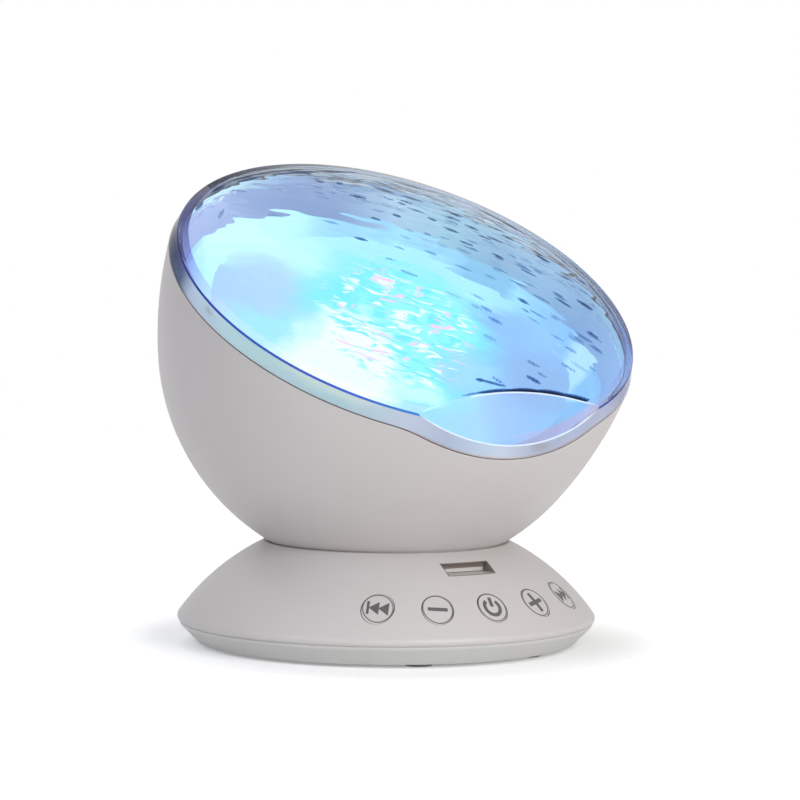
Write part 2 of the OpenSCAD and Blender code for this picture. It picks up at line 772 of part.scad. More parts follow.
module shaft_bushes() color("goldenrod") {
    leaning() for (span = [[-17.6, 6], [plate_top - plate_t - 0.5, plate_t + 0.6]])
        translate([0, 0, span[0]]) difference() {
            cylinder(r = bush_r, h = span[1], $fn = small_fn);
            translate([0, 0, -1]) cylinder(r = shaft_r + clear, h = span[1] + 2, $fn = small_fn);
        }
}

module motor_can() color("silver") {
    leaning() translate(concat(motor_at, plate_top - plate_t - motor_h)) difference() {
        union() {
            cylinder(r = motor_r, h = motor_h);
            translate([0, 0, motor_h - 0.5]) cylinder(r = 3.1, h = 1.5, $fn = small_fn);
            translate([0, 0, -1.2]) cylinder(r = 3.5, h = 2, $fn = small_fn);
            for (s = [-1, 1]) translate([s * 6 - 1, -0.3, -3]) cube([2, 0.6, 3.5]);
        }
        translate([0, 0, 0.5]) cylinder(r = motor_shaft_r + clear, h = motor_h + 5, $fn = small_fn);
        for (s = [-1, 1]) translate([motor_ears * s, 0, motor_h - 3])
            cylinder(r = 1.05, h = 5, $fn = small_fn);
    }
}

module motor_screws() color("silver") {
    leaning() for (s = [-1, 1]) translate(concat(motor_at + [motor_ears * s, 0], plate_top + 0.9))
        rotate([180, 0, 0]) screw(1, 4.2, 1.9, 0.9);
}

module motor_shaft() color("silver") {
    low = plate_top - plate_t - motor_h + 1;
    leaning() translate(concat(motor_at, low))
        cylinder(r = motor_shaft_r, h = motor_shaft_top - low, $fn = small_fn);
}

// Involute of a circle, as an angle
function inv(a) = tan(a) * 180 / PI - a;

// Half the angle that a tooth takes up at radius r
function half_tooth(teeth, r) =
    let (pitch_r = gear_mod * teeth / 2, base = pitch_r * cos(pressure_angle))
    90 / teeth - tooth_slack / pitch_r * 180 / PI + inv(pressure_angle)
        - (r > base ? inv(acos(base / r)) : 0);

// Involute gear outline, tooth 0 on +X. add is the tooth's height above the pitch line,
// mate_add that of the gear it runs with, both in modules
module gear_outline(teeth, add, mate_add) {
    pitch_r = gear_mod * teeth / 2;
    base = pitch_r * cos(pressure_angle);
    root = pitch_r - (mate_add + root_gap) * gear_mod;
    tip = pitch_r + add * gear_mod;
    low = max(base, root);
    flank = [for (i = [0:4]) low + (tip - low) * i / 4];
    radii = root < base ? concat([root], flank) : flank;
    n = len(radii);
    polygon([for (k = [0:teeth - 1], side = [-1, 1], j = [0:n - 1])
        let (r = radii[side < 0 ? j : n - 1 - j], a = k * 360 / teeth + side * half_tooth(teeth, r))
        [r * cos(a), r * sin(a)]]);
}

// Turn of a pinion that meshes with a wheel whose tooth 0 points along +X
function mesh_turn(dir, wheel, pinion) =
    let (u = dir * wheel / 360) dir + 180 - (0.5 - u) * 360 / pinion;

module spur(teeth, add, mate_add, h, bore) {
    difference() {
        linear_extrude(h) gear_outline(teeth, add, mate_add);
        translate([0, 0, -1]) cylinder(r = bore, h = h + 2, $fn = small_fn);
    }
}

module motor_pinion() color("white") {
    leaning() translate(concat(motor_at, motor_pinion_at[0]))
        rotate(mesh_turn(motor_dir, wheel_teeth, pinion_teeth))
            spur(pinion_teeth, pinion_add, wheel_add, motor_pinion_at[1], motor_shaft_r);
}

// Wheel with its pinion moulded on it, on a pin; dir is where the pinion meets the next gear
module idler(at, wheel, pinion_h, dir, next_teeth) {
    leaning() translate(concat(at, wheel[0])) {
        spur(wheel_teeth, wheel_add, pinion_add, wheel[1], pin_r + clear);
        translate([0, 0, wheel[1] - weld]) rotate(mesh_turn(dir, next_teeth, pinion_teeth))
            spur(pinion_teeth, pinion_add, wheel_add, pinion_h, pin_r + clear);
    }
}

module first_idler() color("white") {
    idler(first_at, first_wheel_at, first_pinion_h, first_dir, wheel_teeth);
}

module second_idler() color("white") {
    idler(second_at, second_wheel_at, second_pinion_h, second_dir, output_teeth);
}

module output_gear() color("white") {
    leaning() {
        translate([0, 0, output_at[0]])
            spur(output_teeth, wheel_add, pinion_add, output_at[1], shaft_r);
        translate([0, 0, output_hub[0]]) difference() {
            cylinder(r = 3, h = output_hub[1], $fn = small_fn);
            translate([0, 0, -1]) cylinder(r = shaft_r, h = output_hub[1] + 2, $fn = small_fn);
        }
    }
}

module rotor_shaft() color("silver") {
    leaning() translate([0, 0, shaft_low])
        cylinder(r = shaft_r, h = wave_disc_h + 1 - shaft_low, $fn = small_fn);
}

// Radius of a ball that stands rise over a flat face within a circle of radius r
function ball_r(r, rise) = (r * r + rise * rise) / (2 * rise);

module wave_disc() color("lightcyan") {
    lens_ball = ball_r(disc_lens_r, lens_rise);
    top = wave_disc_h + wave_disc_t;
    leaning() difference() {
        union() {
            translate([0, 0, wave_disc_h]) cylinder(r = wave_disc_r, h = wave_disc_t);
            for (ring = disc_lens_rings, i = [0:ring[1] - 1]) rotate(i * 360 / ring[1])
                translate([ring[0], 0, top + lens_rise - lens_ball]) intersection() {
                    sphere(r = lens_ball);
                    translate([0, 0, lens_ball - lens_rise - 1])
                        cylinder(r = disc_lens_r + 1, h = 5, $fn = small_fn);
                }
            translate([0, 0, -7]) cylinder(r = 4, h = 8.5, $fn = small_fn);
        }
        translate([0, 0, -8]) cylinder(r = shaft_r, h = 10, $fn = small_fn);
    }
}

// Middles of the dimples, in a sunflower's spiral that leaves the front facet free
ripple_marks = [for (i = [0:ripple_count - 1])
    let (r = ripple_reach * sqrt((i + 0.5) / ripple_count), a = i * ripple_turn)
    if (r * cos(a) < facet_chord - 8) [r, a]];

module ripples() {
    ball = ball_r(ripple_r, ripple_depth);
    for (mark = ripple_marks) translate([0, 0, cover_h + crown - dome_r]) rotate(mark[1] - 90)
        rotate([0, asin(mark[0] / dome_r), 0]) translate([0, 0, dome_r - ripple_depth]) intersection() {
            translate([0, 0, ball]) sphere(r = ball);
            translate([0, 0, -1]) cylinder(r = ripple_r + 0.1, h = ripple_depth + 1.5, $fn = small_fn);
        }
}

module lens_cover() color("lightblue") {
    low = rim_h - 12;
    leaning() {
        difference() {
            intersection() {
                rotate_extrude() polygon(cover_section(0, low));
                under_planes(far / 4, facet_chord - (far / 4 - cover_h) / tan(facet_slope));
            }
            intersection() {
                rotate_extrude() polygon(cover_section(cover_wall, low - 1));
                under_planes(far / 4, facet_chord - (far / 4 - cover_h) / tan(facet_slope)
                    - cover_wall / sin(facet_slope));
            }
            bowl_zone(gap);
            ripples();
        }
        // Lip that stands in the step inside the bowl's rim
        difference() {
            intersection() {
                bowl_solid(rebate_t + gap);
                bowl_zone(gap + 0.4);
            }
            bowl_solid(bowl_wall + gap);
            bowl_zone(-rebate_h + gap);
        }
    }
}

module key(i) {
    intersection() {
        difference() {
            base_solid(0);
            base_solid(base_wall + key_flange_gap + key_flange_t);
        }
        key_frame(i) translate([0, 0, -10]) cylinder(r = key_r, h = 20, $fn = small_fn);
    }
    intersection() {
        difference() {
            base_solid(base_wall + key_flange_gap);
            base_solid(base_wall + key_flange_gap + key_flange_t);
        }
        key_frame(i) translate([0, 0, -12]) cylinder(r = key_flange_r, h = 24, $fn = small_fn);
    }
    key_plane() translate(concat(key_mark(i), plunger_top))
        cylinder(r = key_stem_r, h = key_top(i) - plunger_top - 2, $fn = small_fn);
}

module plunger(i) {
    key_plane() translate(concat(key_mark(i), plunger_top - plunger_h))
        cylinder(r = plunger_r, h = plunger_h, $fn = small_fn);
}

module previous_key() color("gainsboro") key(0);
module minus_key() color("gainsboro") key(1);
module power_key() color("gainsboro") key(2);
module plus_key() color("gainsboro") key(3);
module next_key() color("gainsboro") key(4);
module previous_plunger() color("tan") plunger(0);
module minus_plunger() color("tan") plunger(1);
module power_plunger() color("tan") plunger(2);
module plus_plunger() color("tan") plunger(3);
module next_plunger() color("tan") plunger(4);

base_shell();
base_tray();
rubber_feet();
tray_screws();
speaker_frame();
speaker_cone();
speaker_magnet();
main_board();
power_socket();
audio_jack();
board_screws();
key_board();
key_switches();
ir_window();
ir_board();
ir_receiver();
bowl_shell();
neck_screws();
head_frame();
frame_screws();
reflector();
led_board();
projection_leds();
gearbox_plate();
gearbox_screws();
idler_pins();
shaft_bushes();
motor_can();
motor_screws();
motor_shaft();
motor_pinion();
first_idler();
second_idler();
output_gear();
rotor_shaft();
wave_disc();
lens_cover();
previous_key();
minus_key();
power_key();
plus_key();
next_key();
previous_plunger();
minus_plunger();
power_plunger();
plus_plunger();
next_plunger();
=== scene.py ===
"""Looks of an ocean wave projector: a round base with five keys, a bowl, and a clear rippled cover.

The scene is in metres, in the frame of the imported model: the floor is z = 0, the front is -Y.
The sizes that are written here are in millimetres, unless their comment says otherwise.
"""
import json
import math

import bmesh
import bpy
import numpy as np
from mathutils import Matrix, Vector


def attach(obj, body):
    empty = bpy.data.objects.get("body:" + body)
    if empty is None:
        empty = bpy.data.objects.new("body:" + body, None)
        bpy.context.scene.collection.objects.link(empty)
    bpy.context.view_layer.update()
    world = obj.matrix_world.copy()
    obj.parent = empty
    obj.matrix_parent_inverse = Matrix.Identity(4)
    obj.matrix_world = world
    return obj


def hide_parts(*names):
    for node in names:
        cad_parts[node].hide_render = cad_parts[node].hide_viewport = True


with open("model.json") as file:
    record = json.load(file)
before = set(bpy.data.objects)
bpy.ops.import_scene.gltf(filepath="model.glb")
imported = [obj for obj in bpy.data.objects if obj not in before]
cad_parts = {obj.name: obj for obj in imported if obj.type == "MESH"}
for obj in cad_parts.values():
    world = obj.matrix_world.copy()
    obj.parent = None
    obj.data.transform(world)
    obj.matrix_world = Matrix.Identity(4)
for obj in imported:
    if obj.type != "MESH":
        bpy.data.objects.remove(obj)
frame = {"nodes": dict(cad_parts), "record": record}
bpy.context.view_layer.update()
nodes = frame["nodes"]
MM = 0.001

# Bowl and cover, in a leaning frame whose origin is the centre of the bowl's round underside.
# The bowl's wall above its underside is an arc; the cover is a dome with a corner, a skirt and a facet.
LEAN = math.radians(31.5)
HEAD_AT = Vector((0, 0, 83.5)) * MM
HEAD = Matrix.Translation(HEAD_AT) @ Matrix.Rotation(LEAN, 4, "X") @ Matrix.Scale(MM, 4)
RIM_CURVE_R = 123.3
RIM_CURVE_C = (-56.30, 17.97)
BOWL_WALL = 2.2
COVER_H = 18.95
COVER_R = 65.85
COVER_WALL = 2.0
CROWN = 10.5
CORNER_ROUND = 0.9
SKIRT_H = 5.35
FACET_CHORD = 58.5
FACET_SLOPE = math.radians(41.5)
# Seat line between bowl and cover, which dips at the front, and the rebate that holds the cover
RIM_H = COVER_H - SKIRT_H
DIP_CHORD = 59.3
DIP_SLOPE = math.radians(39)
DIP_ROUND = 6.5
SEAT_GAP = 0.1
REBATE_T = 1.1
REBATE_H = 2.6


def srgb(r, g, b):
    """A colour given as 0 to 255 screen values, as linear light."""
    def linear(v):
        v /= 255
        return v / 12.92 if v <= 0.04045 else ((v + 0.055) / 1.055) ** 2.4
    return (linear(r), linear(g), linear(b), 1.0)


# Nodes

def feed(tree, node, key, value):
    """Gives a node's input a plain value, or links another node's output to it."""
    if isinstance(value, bpy.types.NodeSocket):
        tree.links.new(value, node.inputs[key])
    else:
        node.inputs[key].default_value = value


def place(tree, kind, inputs=None, **settings):
    """A new node with its settings, and with its inputs by name or number."""
    node = tree.nodes.new(kind)
    for key, value in settings.items():
        setattr(node, key, value)
    for key, value in (inputs or {}).items():
        feed(tree, node, key, value)
    return node


def maths(tree, operation, *values):
    """Output of a Math node; its values are plain numbers or other nodes' outputs."""
    return place(tree, "ShaderNodeMath", dict(enumerate(values)), operation=operation).outputs["Value"]


def vectors(tree, operation, *values):
    """The same for vectors; only a length comes out as a number."""
    node = place(tree, "ShaderNodeVectorMath", dict(enumerate(values)), operation=operation)
    return node.outputs["Value" if operation == "LENGTH" else "Vector"]


def eased(tree, value, low, high, first=0.0, last=1.0, way="SMOOTHSTEP"):
    """Goes from first to last while value goes from low to high."""
    reach = {"Value": value, "From Min": low, "From Max": high, "To Min": first, "To Max": last}
    return place(tree, "ShaderNodeMapRange", reach, interpolation_type=way).outputs["Result"]


def blended(tree, share, first, second):
    """The first colour, which turns to the second as share goes from 0 to 1."""
    colours = {"Factor": share, "A": first, "B": second}
    return place(tree, "ShaderNodeMix", colours, data_type="RGBA").outputs["Result"]


def noise(tree, at, scale, detail, inputs=None, **settings):
    values = {"Vector": at, "Scale": scale, "Detail": detail, **(inputs or {})}
    return place(tree, "ShaderNodeTexNoise", values, **settings)


def ramp(tree, value, stops):
    """A colour ramp over value; stops are pairs of place and screen colour."""
    node = place(tree, "ShaderNodeValToRGB", {"Fac": value})
    points = node.color_ramp.elements
    while len(points) < len(stops):
        points.new(0.5)
    for point, (at, colour) in zip(points, stops):
        point.position = at
        point.color = srgb(*colour)
    return node.outputs["Color"]


def lean_place(tree):
    """Place on a surface in the leaning frame of the bowl: across, up the slope, and height, in mm."""
    at = place(tree, "ShaderNodeTexCoord").outputs["Object"]
    leaning = {"Vector": at, "Location": HEAD_AT, "Rotation": (LEAN, 0, 0), "Scale": (MM, MM, MM)}
    return place(tree, "ShaderNodeMapping", leaning, vector_type="TEXTURE").outputs["Vector"]


def part_of(tree, at, axis):
    return place(tree, "ShaderNodeSeparateXYZ", {"Vector": at}).outputs[axis]


def off_axis(tree, at):
    """Distance from the leaning axis."""
    return vectors(tree, "LENGTH", vectors(tree, "MULTIPLY", at, (1, 1, 0)))


def around(tree):
    """Turn round the leaning axis: 0 at the back, 0.25 at the left, 0.5 at the front, 0.75 at the right."""
    quarter = {"Vector": lean_place(tree), "Rotation": (0, 0, math.radians(90))}
    turned = place(tree, "ShaderNodeMapping", quarter).outputs["Vector"]
    return place(tree, "ShaderNodeTexGradient", {"Vector": turned}, gradient_type="RADIAL").outputs["Fac"]


def new_group(name, kind, inputs, outputs):
    """A node group with named sockets, what its input node gives, and its output node."""
    group = bpy.data.node_groups.new(name, kind)
    for direction, sockets in (("INPUT", inputs), ("OUTPUT", outputs)):
        for label, socket in sockets.items():
            group.interface.new_socket(label, in_out=direction, socket_type="NodeSocket" + socket)
    return group, place(group, "NodeGroupInput").outputs, place(group, "NodeGroupOutput")


def new_material(name, values=None):
    """A material, its node tree, and its shader with the given values."""
    material = bpy.data.materials.new(name)
    material.use_nodes = True
    tree = material.node_tree
    shader = tree.nodes["Principled BSDF"]
    for key, value in (values or {}).items():
        feed(tree, shader, key, value)
    return material, tree, shader


# Moulded surfaces: patches of a slightly deeper tone under a fine grain; scales are per metre, rise in metres

MOTTLE_SCALE = 38.0
MOTTLE_DETAIL = 4.0
MOTTLE_RANGE = (0.3, 0.7)
MOTTLE_SHARE = 0.35
MOTTLE_ROUGHNESS = 0.12
GRAIN_SCALE = 2600.0
GRAIN_DETAIL = 2.0
GRAIN_RISE = 0.00006


def build_moulded_grain():
    """Group: the fine spark-eroded grain and faint mottling of a moulded shell."""
    group, given, out = new_group(
        "moulded_grain", "ShaderNodeTree",
        {"Colour": "Color", "Shade": "Color", "Roughness": "Float", "Grain": "Float", "Depth": "Float"},
        {"Colour": "Color", "Roughness": "Float", "Normal": "Vector"})
    at = place(group, "ShaderNodeTexCoord").outputs["Object"]
    mottle = noise(group, at, MOTTLE_SCALE, MOTTLE_DETAIL).outputs["Fac"]
    grain = noise(group, at, given["Grain"], GRAIN_DETAIL).outputs["Fac"]
    share = eased(group, mottle, *MOTTLE_RANGE, last=MOTTLE_SHARE, way="LINEAR")
    bump = place(group, "ShaderNodeBump", {"Height": grain, "Distance": GRAIN_RISE,
                                           "Strength": given["Depth"]})
    feed(group, out, "Colour", blended(group, share, given["Colour"], given["Shade"]))
    feed(group, out, "Roughness", maths(group, "MULTIPLY_ADD", mottle, MOTTLE_ROUGHNESS, given["Roughness"]))
    feed(group, out, "Normal", bump.outputs["Normal"])
    return group


GRAIN = build_moulded_grain()


def moulded(name, colour, shade, roughness=0.42, grain=GRAIN_SCALE, depth=0.06, metallic=0.0):
    """A moulded or coated surface, from the grain group; colour and shade are screen colours."""
    material, tree, shader = new_material(name, {"Metallic": metallic})
    values = {"Colour": srgb(*colour), "Shade": srgb(*shade), "Roughness": roughness, "Grain": grain,
              "Depth": depth}
    group = place(tree, "ShaderNodeGroup", values, node_tree=GRAIN)
    for output, key in (("Colour", "Base Color"), ("Roughness", "Roughness"), ("Normal", "Normal")):
        feed(tree, shader, key, group.outputs[output])
    return material


BODY_COLOURS = ((200, 195, 194), (194, 189, 188))
BODY = moulded("body_plastic", *BODY_COLOURS)
TRAY = moulded("tray_plastic", (198, 197, 195), (192, 191, 189))
RUBBER = moulded("foot_rubber", (128, 126, 125), (112, 110, 109), roughness=0.7, grain=1500)
STEEL = moulded("screw_steel", (190, 190, 194), (160, 160, 166), roughness=0.28, metallic=1.0)
BLACK = moulded("black_plastic", (32, 32, 34), (24, 24, 26), roughness=0.38)
WHITE = moulded("white_plastic", (228, 228, 226), (218, 218, 216), roughness=0.4)
BOARD = moulded("board_laminate", (28, 92, 52), (22, 78, 42), roughness=0.35)
WINDOW = moulded("window_plastic", (205, 202, 198), (196, 193, 189), roughness=0.25)
GEAR = moulded("gear_plastic", (236, 234, 222), (226, 224, 212), roughness=0.35)
BRASS = moulded("bush_brass", (200, 165, 90), (180, 140, 70), roughness=0.3, metallic=1.0)
PAPER = moulded("speaker_paper", (45, 45, 47), (35, 35, 37), roughness=0.85, grain=900, depth=0.3)
PLUNGER = moulded("plunger_plastic", (150, 105, 60), (140, 95, 52), roughness=0.4)
INK = moulded("sign_ink", (92, 90, 90), (82, 80, 80), roughness=0.5)
# Dark ring along each key's edge: painted shade that widens the dark line of the real gap round the key
RING_SHADE = moulded("ring_gap_shade", (98, 94, 94), (88, 84, 84), roughness=0.5)
# Painted shade in the window's recess: brown at its top and left, grey at its right side
SHADE = moulded("window_shade", (118, 104, 98), (106, 94, 88), roughness=0.6)
SIDE_SHADE = moulded("window_side_shade", (132, 126, 122), (120, 114, 110), roughness=0.5)
# Dark line of painted shade along the seat between bowl and cover
SEAT_SHADE = moulded("cover_seat_shade", (92, 76, 88), (80, 66, 78), roughness=0.5)


# Lit surfaces inside the bowl, with their light painted as a glow

# What they send back of the room's own light
GLOW_BASE = (0.12, 0.14, 0.17, 1)
GLOW_ROUGHNESS = 0.6
# Painted glow of the lit wall round the rim, and of the strip of it next to the rim
WALL_GLOW = [(0.0, (128, 138, 188)), (0.06, (150, 156, 206)), (0.16, (176, 172, 220)), (0.3, (196, 200, 240)),
        (0.5, (200, 214, 245)), (0.68, (150, 178, 226)), (0.75, (130, 163, 206)), (0.8, (148, 184, 216)),
        (0.84, (143, 177, 206)), (0.88, (160, 202, 216)), (0.92, (180, 206, 226)), (0.96, (134, 148, 190)),
        (1.0, (128, 138, 188))]
WALL_TOP_GLOW = [(0.0, (150, 166, 212)), (0.03, (180, 206, 232)), (0.065, (240, 255, 255)), (0.2, (190, 226, 246)),
            (0.5, (190, 226, 246)), (0.78, (150, 182, 214)), (0.86, (162, 200, 216)), (0.97, (120, 142, 186)),
            (1.0, (150, 166, 212))]
WALL_TOP_FROM = (10.8, 12.2)
WALL_STRENGTH = 0.85
# Between these heights the bowl's inside is nearer the axis than these radii, and its outside further away
INNER_WALL_Z = (-4.0, 10.0)
INNER_WALL_R = (64.35, 65.93)


def bowl_plastic():
    """The bowl: moulded plastic outside, and inside its rim a wall with a painted glow of the lamp's light.
    """
    material = moulded("bowl_plastic", *BODY_COLOURS)
    tree = material.node_tree
    shader = tree.nodes["Principled BSDF"]
    at = lean_place(tree)
    height = part_of(tree, at, "Z")
    limit = eased(tree, height, *INNER_WALL_Z, *INNER_WALL_R, way="LINEAR")
    inside = maths(tree, "LESS_THAN", off_axis(tree, at), limit)
    lit = maths(tree, "MULTIPLY", inside, maths(tree, "GREATER_THAN", height, INNER_WALL_Z[0]))
    turn = around(tree)
    top = eased(tree, height, *WALL_TOP_FROM)
    tint = blended(tree, top, ramp(tree, turn, WALL_GLOW), ramp(tree, turn, WALL_TOP_GLOW))
    plain = shader.inputs["Base Color"].links[0].from_socket
    feed(tree, shader, "Base Color", blended(tree, lit, plain, GLOW_BASE))
    feed(tree, shader, "Emission Color", blended(tree, lit, (0, 0, 0, 1), tint))
    feed(tree, shader, "Emission Strength", WALL_STRENGTH)
    return material


def build_light_patch():
    """Group: lays one soft-edged oval patch of coloured light over the colour below it."""
    group, given, out = new_group(
        "light_patch", "ShaderNodeTree",
        {"Place": "Vector", "Below": "Color", "Colour": "Color", "Centre": "Vector", "Reach": "Vector",
         "Edge": "Float", "Strength": "Float"},
        {"Colour": "Color"})
    offset = vectors(group, "SUBTRACT", given["Place"], given["Centre"])
    away = vectors(group, "LENGTH", vectors(group, "DIVIDE", offset, given["Reach"]))
    low = maths(group, "SUBTRACT", 1, given["Edge"])
    high = maths(group, "ADD", 1, given["Edge"])
    share = eased(group, away, low, high, given["Strength"], 0)
    feed(group, out, "Colour", blended(group, share, given["Below"], given["Colour"]))
    return group


PATCH = build_light_patch()
# Painted glow of the disc round the leaning axis, under its patches of light
DISC_GLOW = [(0.0, (150, 205, 245)), (0.25, (178, 212, 250)), (0.5, (140, 200, 248)), (0.7, (136, 186, 238)),
       (1.0, (150, 205, 245))]
# Patches of light: colour, centre, reach, softness, strength; across the view, then away
PATCHES = [
    ((206, 253, 255), (-38, 34), (26, 24), 0.35, 1.0),
    ((176, 240, 252), (4, 43), (34, 15), 0.4, 0.9),
    ((176, 204, 250), (-38, 0), (17, 24), 0.4, 0.9),
    ((158, 228, 244), (-32, -19), (17, 13), 0.4, 0.9),
    ((130, 176, 238), (27, 14), (12, 16), 0.5, 0.8),
    ((134, 166, 212), (43, -2), (12, 15), 0.5, 0.9),
    ((192, 230, 250), (57, 19), (7, 8), 0.4, 0.9),
    ((120, 180, 214), (27, 54), (8, 6), 0.5, 0.9),
    ((112, 232, 248), (1, 2), (27, 40), 0.25, 1.0),
    ((140, 246, 240), (6, 8), (17, 28), 0.3, 0.8),
    ((158, 206, 250), (22, -10), (8, 12), 0.5, 0.8),
    ((255, 255, 255), (-11, -15), (14, 20), 0.3, 1.0),
    ((250, 255, 255), (-13, -29), (18, 12), 0.3, 1.0),
    ((206, 255, 252), (9, -27), (8, 7), 0.4, 0.9),
]
# The patches are turned to the view, and a slow noise pushes their outlines about by up to half of this
GLOW_TURN = math.radians(31)
GLOW_WARP = 16.0
WARP_SCALE = 0.07
WARP_DETAIL = 3.0
# Flecks of painted light: colour, scale, where the noise starts to count and where it counts in full, seed
FLECKS = [((96, 232, 232), 0.34, 0.49, 0.60, 2.0), ((255, 255, 255), 0.30, 0.55, 0.64, 9.0),
          ((255, 206, 232), 0.26, 0.60, 0.68, 5.0)]
FLECK_STRETCH = (0.6, 1.5, 1)
FLECK_DETAIL = 1.5
FLECK_DISTORTION = 0.4
# Where the flecks are: centre, reach, softness, strength
FLECK_FIELD = ((2, 5), (22, 31), 0.2, 1.0)
# Heights between which the patches give way to the wall's painted glow, and how ragged that line is
WALL_BAND = (6.0, 8.5)
WALL_RAGGED = 8.0


def lay_patch(tree, at, below, colour, centre, reach, edge, strength):
    values = {"Place": at, "Below": below, "Colour": colour, "Centre": (*centre, 0), "Reach": (*reach, 1),
              "Edge": edge, "Strength": strength}
    return place(tree, "ShaderNodeGroup", values, node_tree=PATCH).outputs["Colour"]


def lay_flecks(tree, at, below, colour, scale, low, high, seed):
    """Small bright flecks of painted light of one colour, where a noise over the place is high."""
    drawn = place(tree, "ShaderNodeMapping", {"Vector": at, "Scale": FLECK_STRETCH}).outputs["Vector"]
    field = noise(tree, drawn, scale, FLECK_DETAIL, {"Distortion": FLECK_DISTORTION, "W": seed},
                  noise_dimensions="4D")
    return blended(tree, eased(tree, field.outputs["Fac"], low, high), below, colour)


def glow(name, strength):
    """Painted light scattered inside the bowl: soft patches and flecks low down, and the wall's painted glow
    higher up.
    """
    material, tree, shader = new_material(name, {"Base Color": GLOW_BASE, "Roughness": GLOW_ROUGHNESS,
                                                 "Emission Strength": strength})
    at = lean_place(tree)
    turned = place(tree, "ShaderNodeMapping", {"Vector": at, "Rotation": (0, 0, GLOW_TURN)}).outputs["Vector"]
    wave = noise(tree, turned, WARP_SCALE, WARP_DETAIL)
    warped = vectors(tree, "MULTIPLY_ADD", wave.outputs["Color"], (GLOW_WARP, GLOW_WARP, 0), turned)
    flat = vectors(tree, "MULTIPLY_ADD", warped, (1, 1, 0), (-GLOW_WARP / 2, -GLOW_WARP / 2, 0))
    light = ramp(tree, around(tree), DISC_GLOW)
    for colour, *oval in PATCHES:
        light = lay_patch(tree, flat, light, srgb(*colour), *oval)
    sparkle = light
    for colour, *spread in FLECKS:
        sparkle = lay_flecks(tree, turned, sparkle, srgb(*colour), *spread)
    light = lay_patch(tree, flat, light, sparkle, *FLECK_FIELD)
    ragged = maths(tree, "MULTIPLY_ADD", wave.outputs["Fac"], WALL_RAGGED, part_of(tree, at, "Z"))
    low, high = WALL_BAND
    share = eased(tree, ragged, low + WALL_RAGGED / 2, high + WALL_RAGGED / 2, way="LINEAR")
    feed(tree, shader, "Emission Color", blended(tree, share, light, ramp(tree, around(tree), WALL_GLOW)))
    return material


# Clear cover's surfaces

# How strongly the clear plastic bends light: low, because its far side is seen at a glancing angle; and how
# strongly the pale ring round the facet does
BEND = 1.12
EDGE_BEND = 1.46
# Tint of the dome, from clear to the dark of a stroke of painted shade
DOME_TINT_TO_SHADE = [(0.0, (222, 242, 254)), (0.3, (120, 160, 205)), (0.6, (43, 80, 135)), (1.0, (1, 3, 16))]
# Tint of the facet with painted light, from left to right, and the lavender band of painted light along its
# outer edge at the right
LEAF_SPAN = (-28, 28)
LEAF_TINT_AND_LIGHT = [(0.0, (196, 240, 250)), (0.3, (214, 238, 250)), (0.42, (206, 216, 246)), (0.6, (190, 212, 242)),
             (0.85, (184, 222, 246)), (1.0, (150, 204, 230))]
BAND_FROM = (63.3, 64.1)
BAND_RIGHT = (-4, 6)
BAND_LIGHT = srgb(232, 206, 222)
# Painted light and shade of the corner, the rim and the skirt round the cover
CORNER_SHADING = [(0.0, (84, 76, 80)), (0.04, (44, 40, 60)), (0.1, (24, 24, 50)), (0.15, (22, 24, 66)),
               (0.2, (46, 46, 124)), (0.28, (60, 80, 180)), (0.38, (62, 92, 196)), (0.44, (64, 130, 206)),
               (0.56, (60, 80, 160)), (0.66, (52, 60, 120)), (0.74, (96, 94, 120)), (0.82, (134, 124, 120)),
               (0.95, (134, 122, 118)), (1.0, (84, 76, 80))]
RIM_SHADING = [(0.0, (120, 116, 118)), (0.04, (56, 54, 76)), (0.1, (30, 32, 62)), (0.16, (40, 42, 100)),
            (0.21, (130, 140, 205)), (0.27, (236, 242, 255)), (0.4, (240, 252, 255)), (0.5, (236, 246, 255)),
            (0.6, (190, 208, 246)), (0.68, (150, 165, 220)), (0.8, (160, 190, 206)), (0.94, (150, 140, 136)),
            (1.0, (110, 104, 106))]
SKIRT_SHADING = [(0.0, (190, 190, 200)), (0.12, (60, 56, 92)), (0.17, (24, 30, 66)), (0.2, (24, 34, 74)),
              (0.224, (84, 92, 118)), (0.243, (206, 204, 212)), (0.28, (206, 218, 214)),
              (0.33, (186, 204, 196)), (0.38, (180, 198, 190)), (0.42, (206, 196, 200)),
              (0.45, (190, 186, 192)), (0.49, (226, 222, 222)), (0.52, (196, 192, 200)),
              (0.58, (196, 190, 204)), (0.64, (120, 124, 176)), (0.7, (110, 112, 160)),
              (0.8, (180, 184, 210)), (1.0, (190, 190, 200))]


def glass(name, tint=(255, 255, 255), transmission=1.0, roughness=0.0, bend=BEND):
    return new_material(name, {"Transmission Weight": transmission, "IOR": bend, "Roughness": roughness,
                               "Base Color": srgb(*tint)})


def dome_glass():
    """Clear blue plastic whose ripples carry painted shade in dark strokes where they turn away."""
    material, tree, shader = glass("rippled_cover", roughness=0.01)
    stroke_shade = place(tree, "ShaderNodeAttribute", attribute_name="stroke_shade").outputs["Fac"]
    feed(tree, shader, "Base Color", ramp(tree, stroke_shade, DOME_TINT_TO_SHADE))
    return material


def leaf_glass():
    """The facet: its tint with painted light, pale aqua at its left to sky blue at its right, with a lavender
    band of painted light at its edge.
    """
    material, tree, shader = glass("cover_facet", transmission=0.75, roughness=0.16)
    at = lean_place(tree)
    across = part_of(tree, at, "X")
    tint = ramp(tree, eased(tree, across, *LEAF_SPAN, way="LINEAR"), LEAF_TINT_AND_LIGHT)
    at_edge = eased(tree, off_axis(tree, at), *BAND_FROM)
    band = maths(tree, "MULTIPLY", at_edge, eased(tree, across, *BAND_RIGHT))
    feed(tree, shader, "Base Color", blended(tree, band, tint, BAND_LIGHT))
    return material


def rim_glass(name, stops, transmission, roughness=0.15):
    """A band of the cover whose painted light and shade change round the rim, as the light in it does."""
    material, tree, shader = glass(name, transmission=transmission, roughness=roughness)
    feed(tree, shader, "Base Color", ramp(tree, around(tree), stops))
    return material


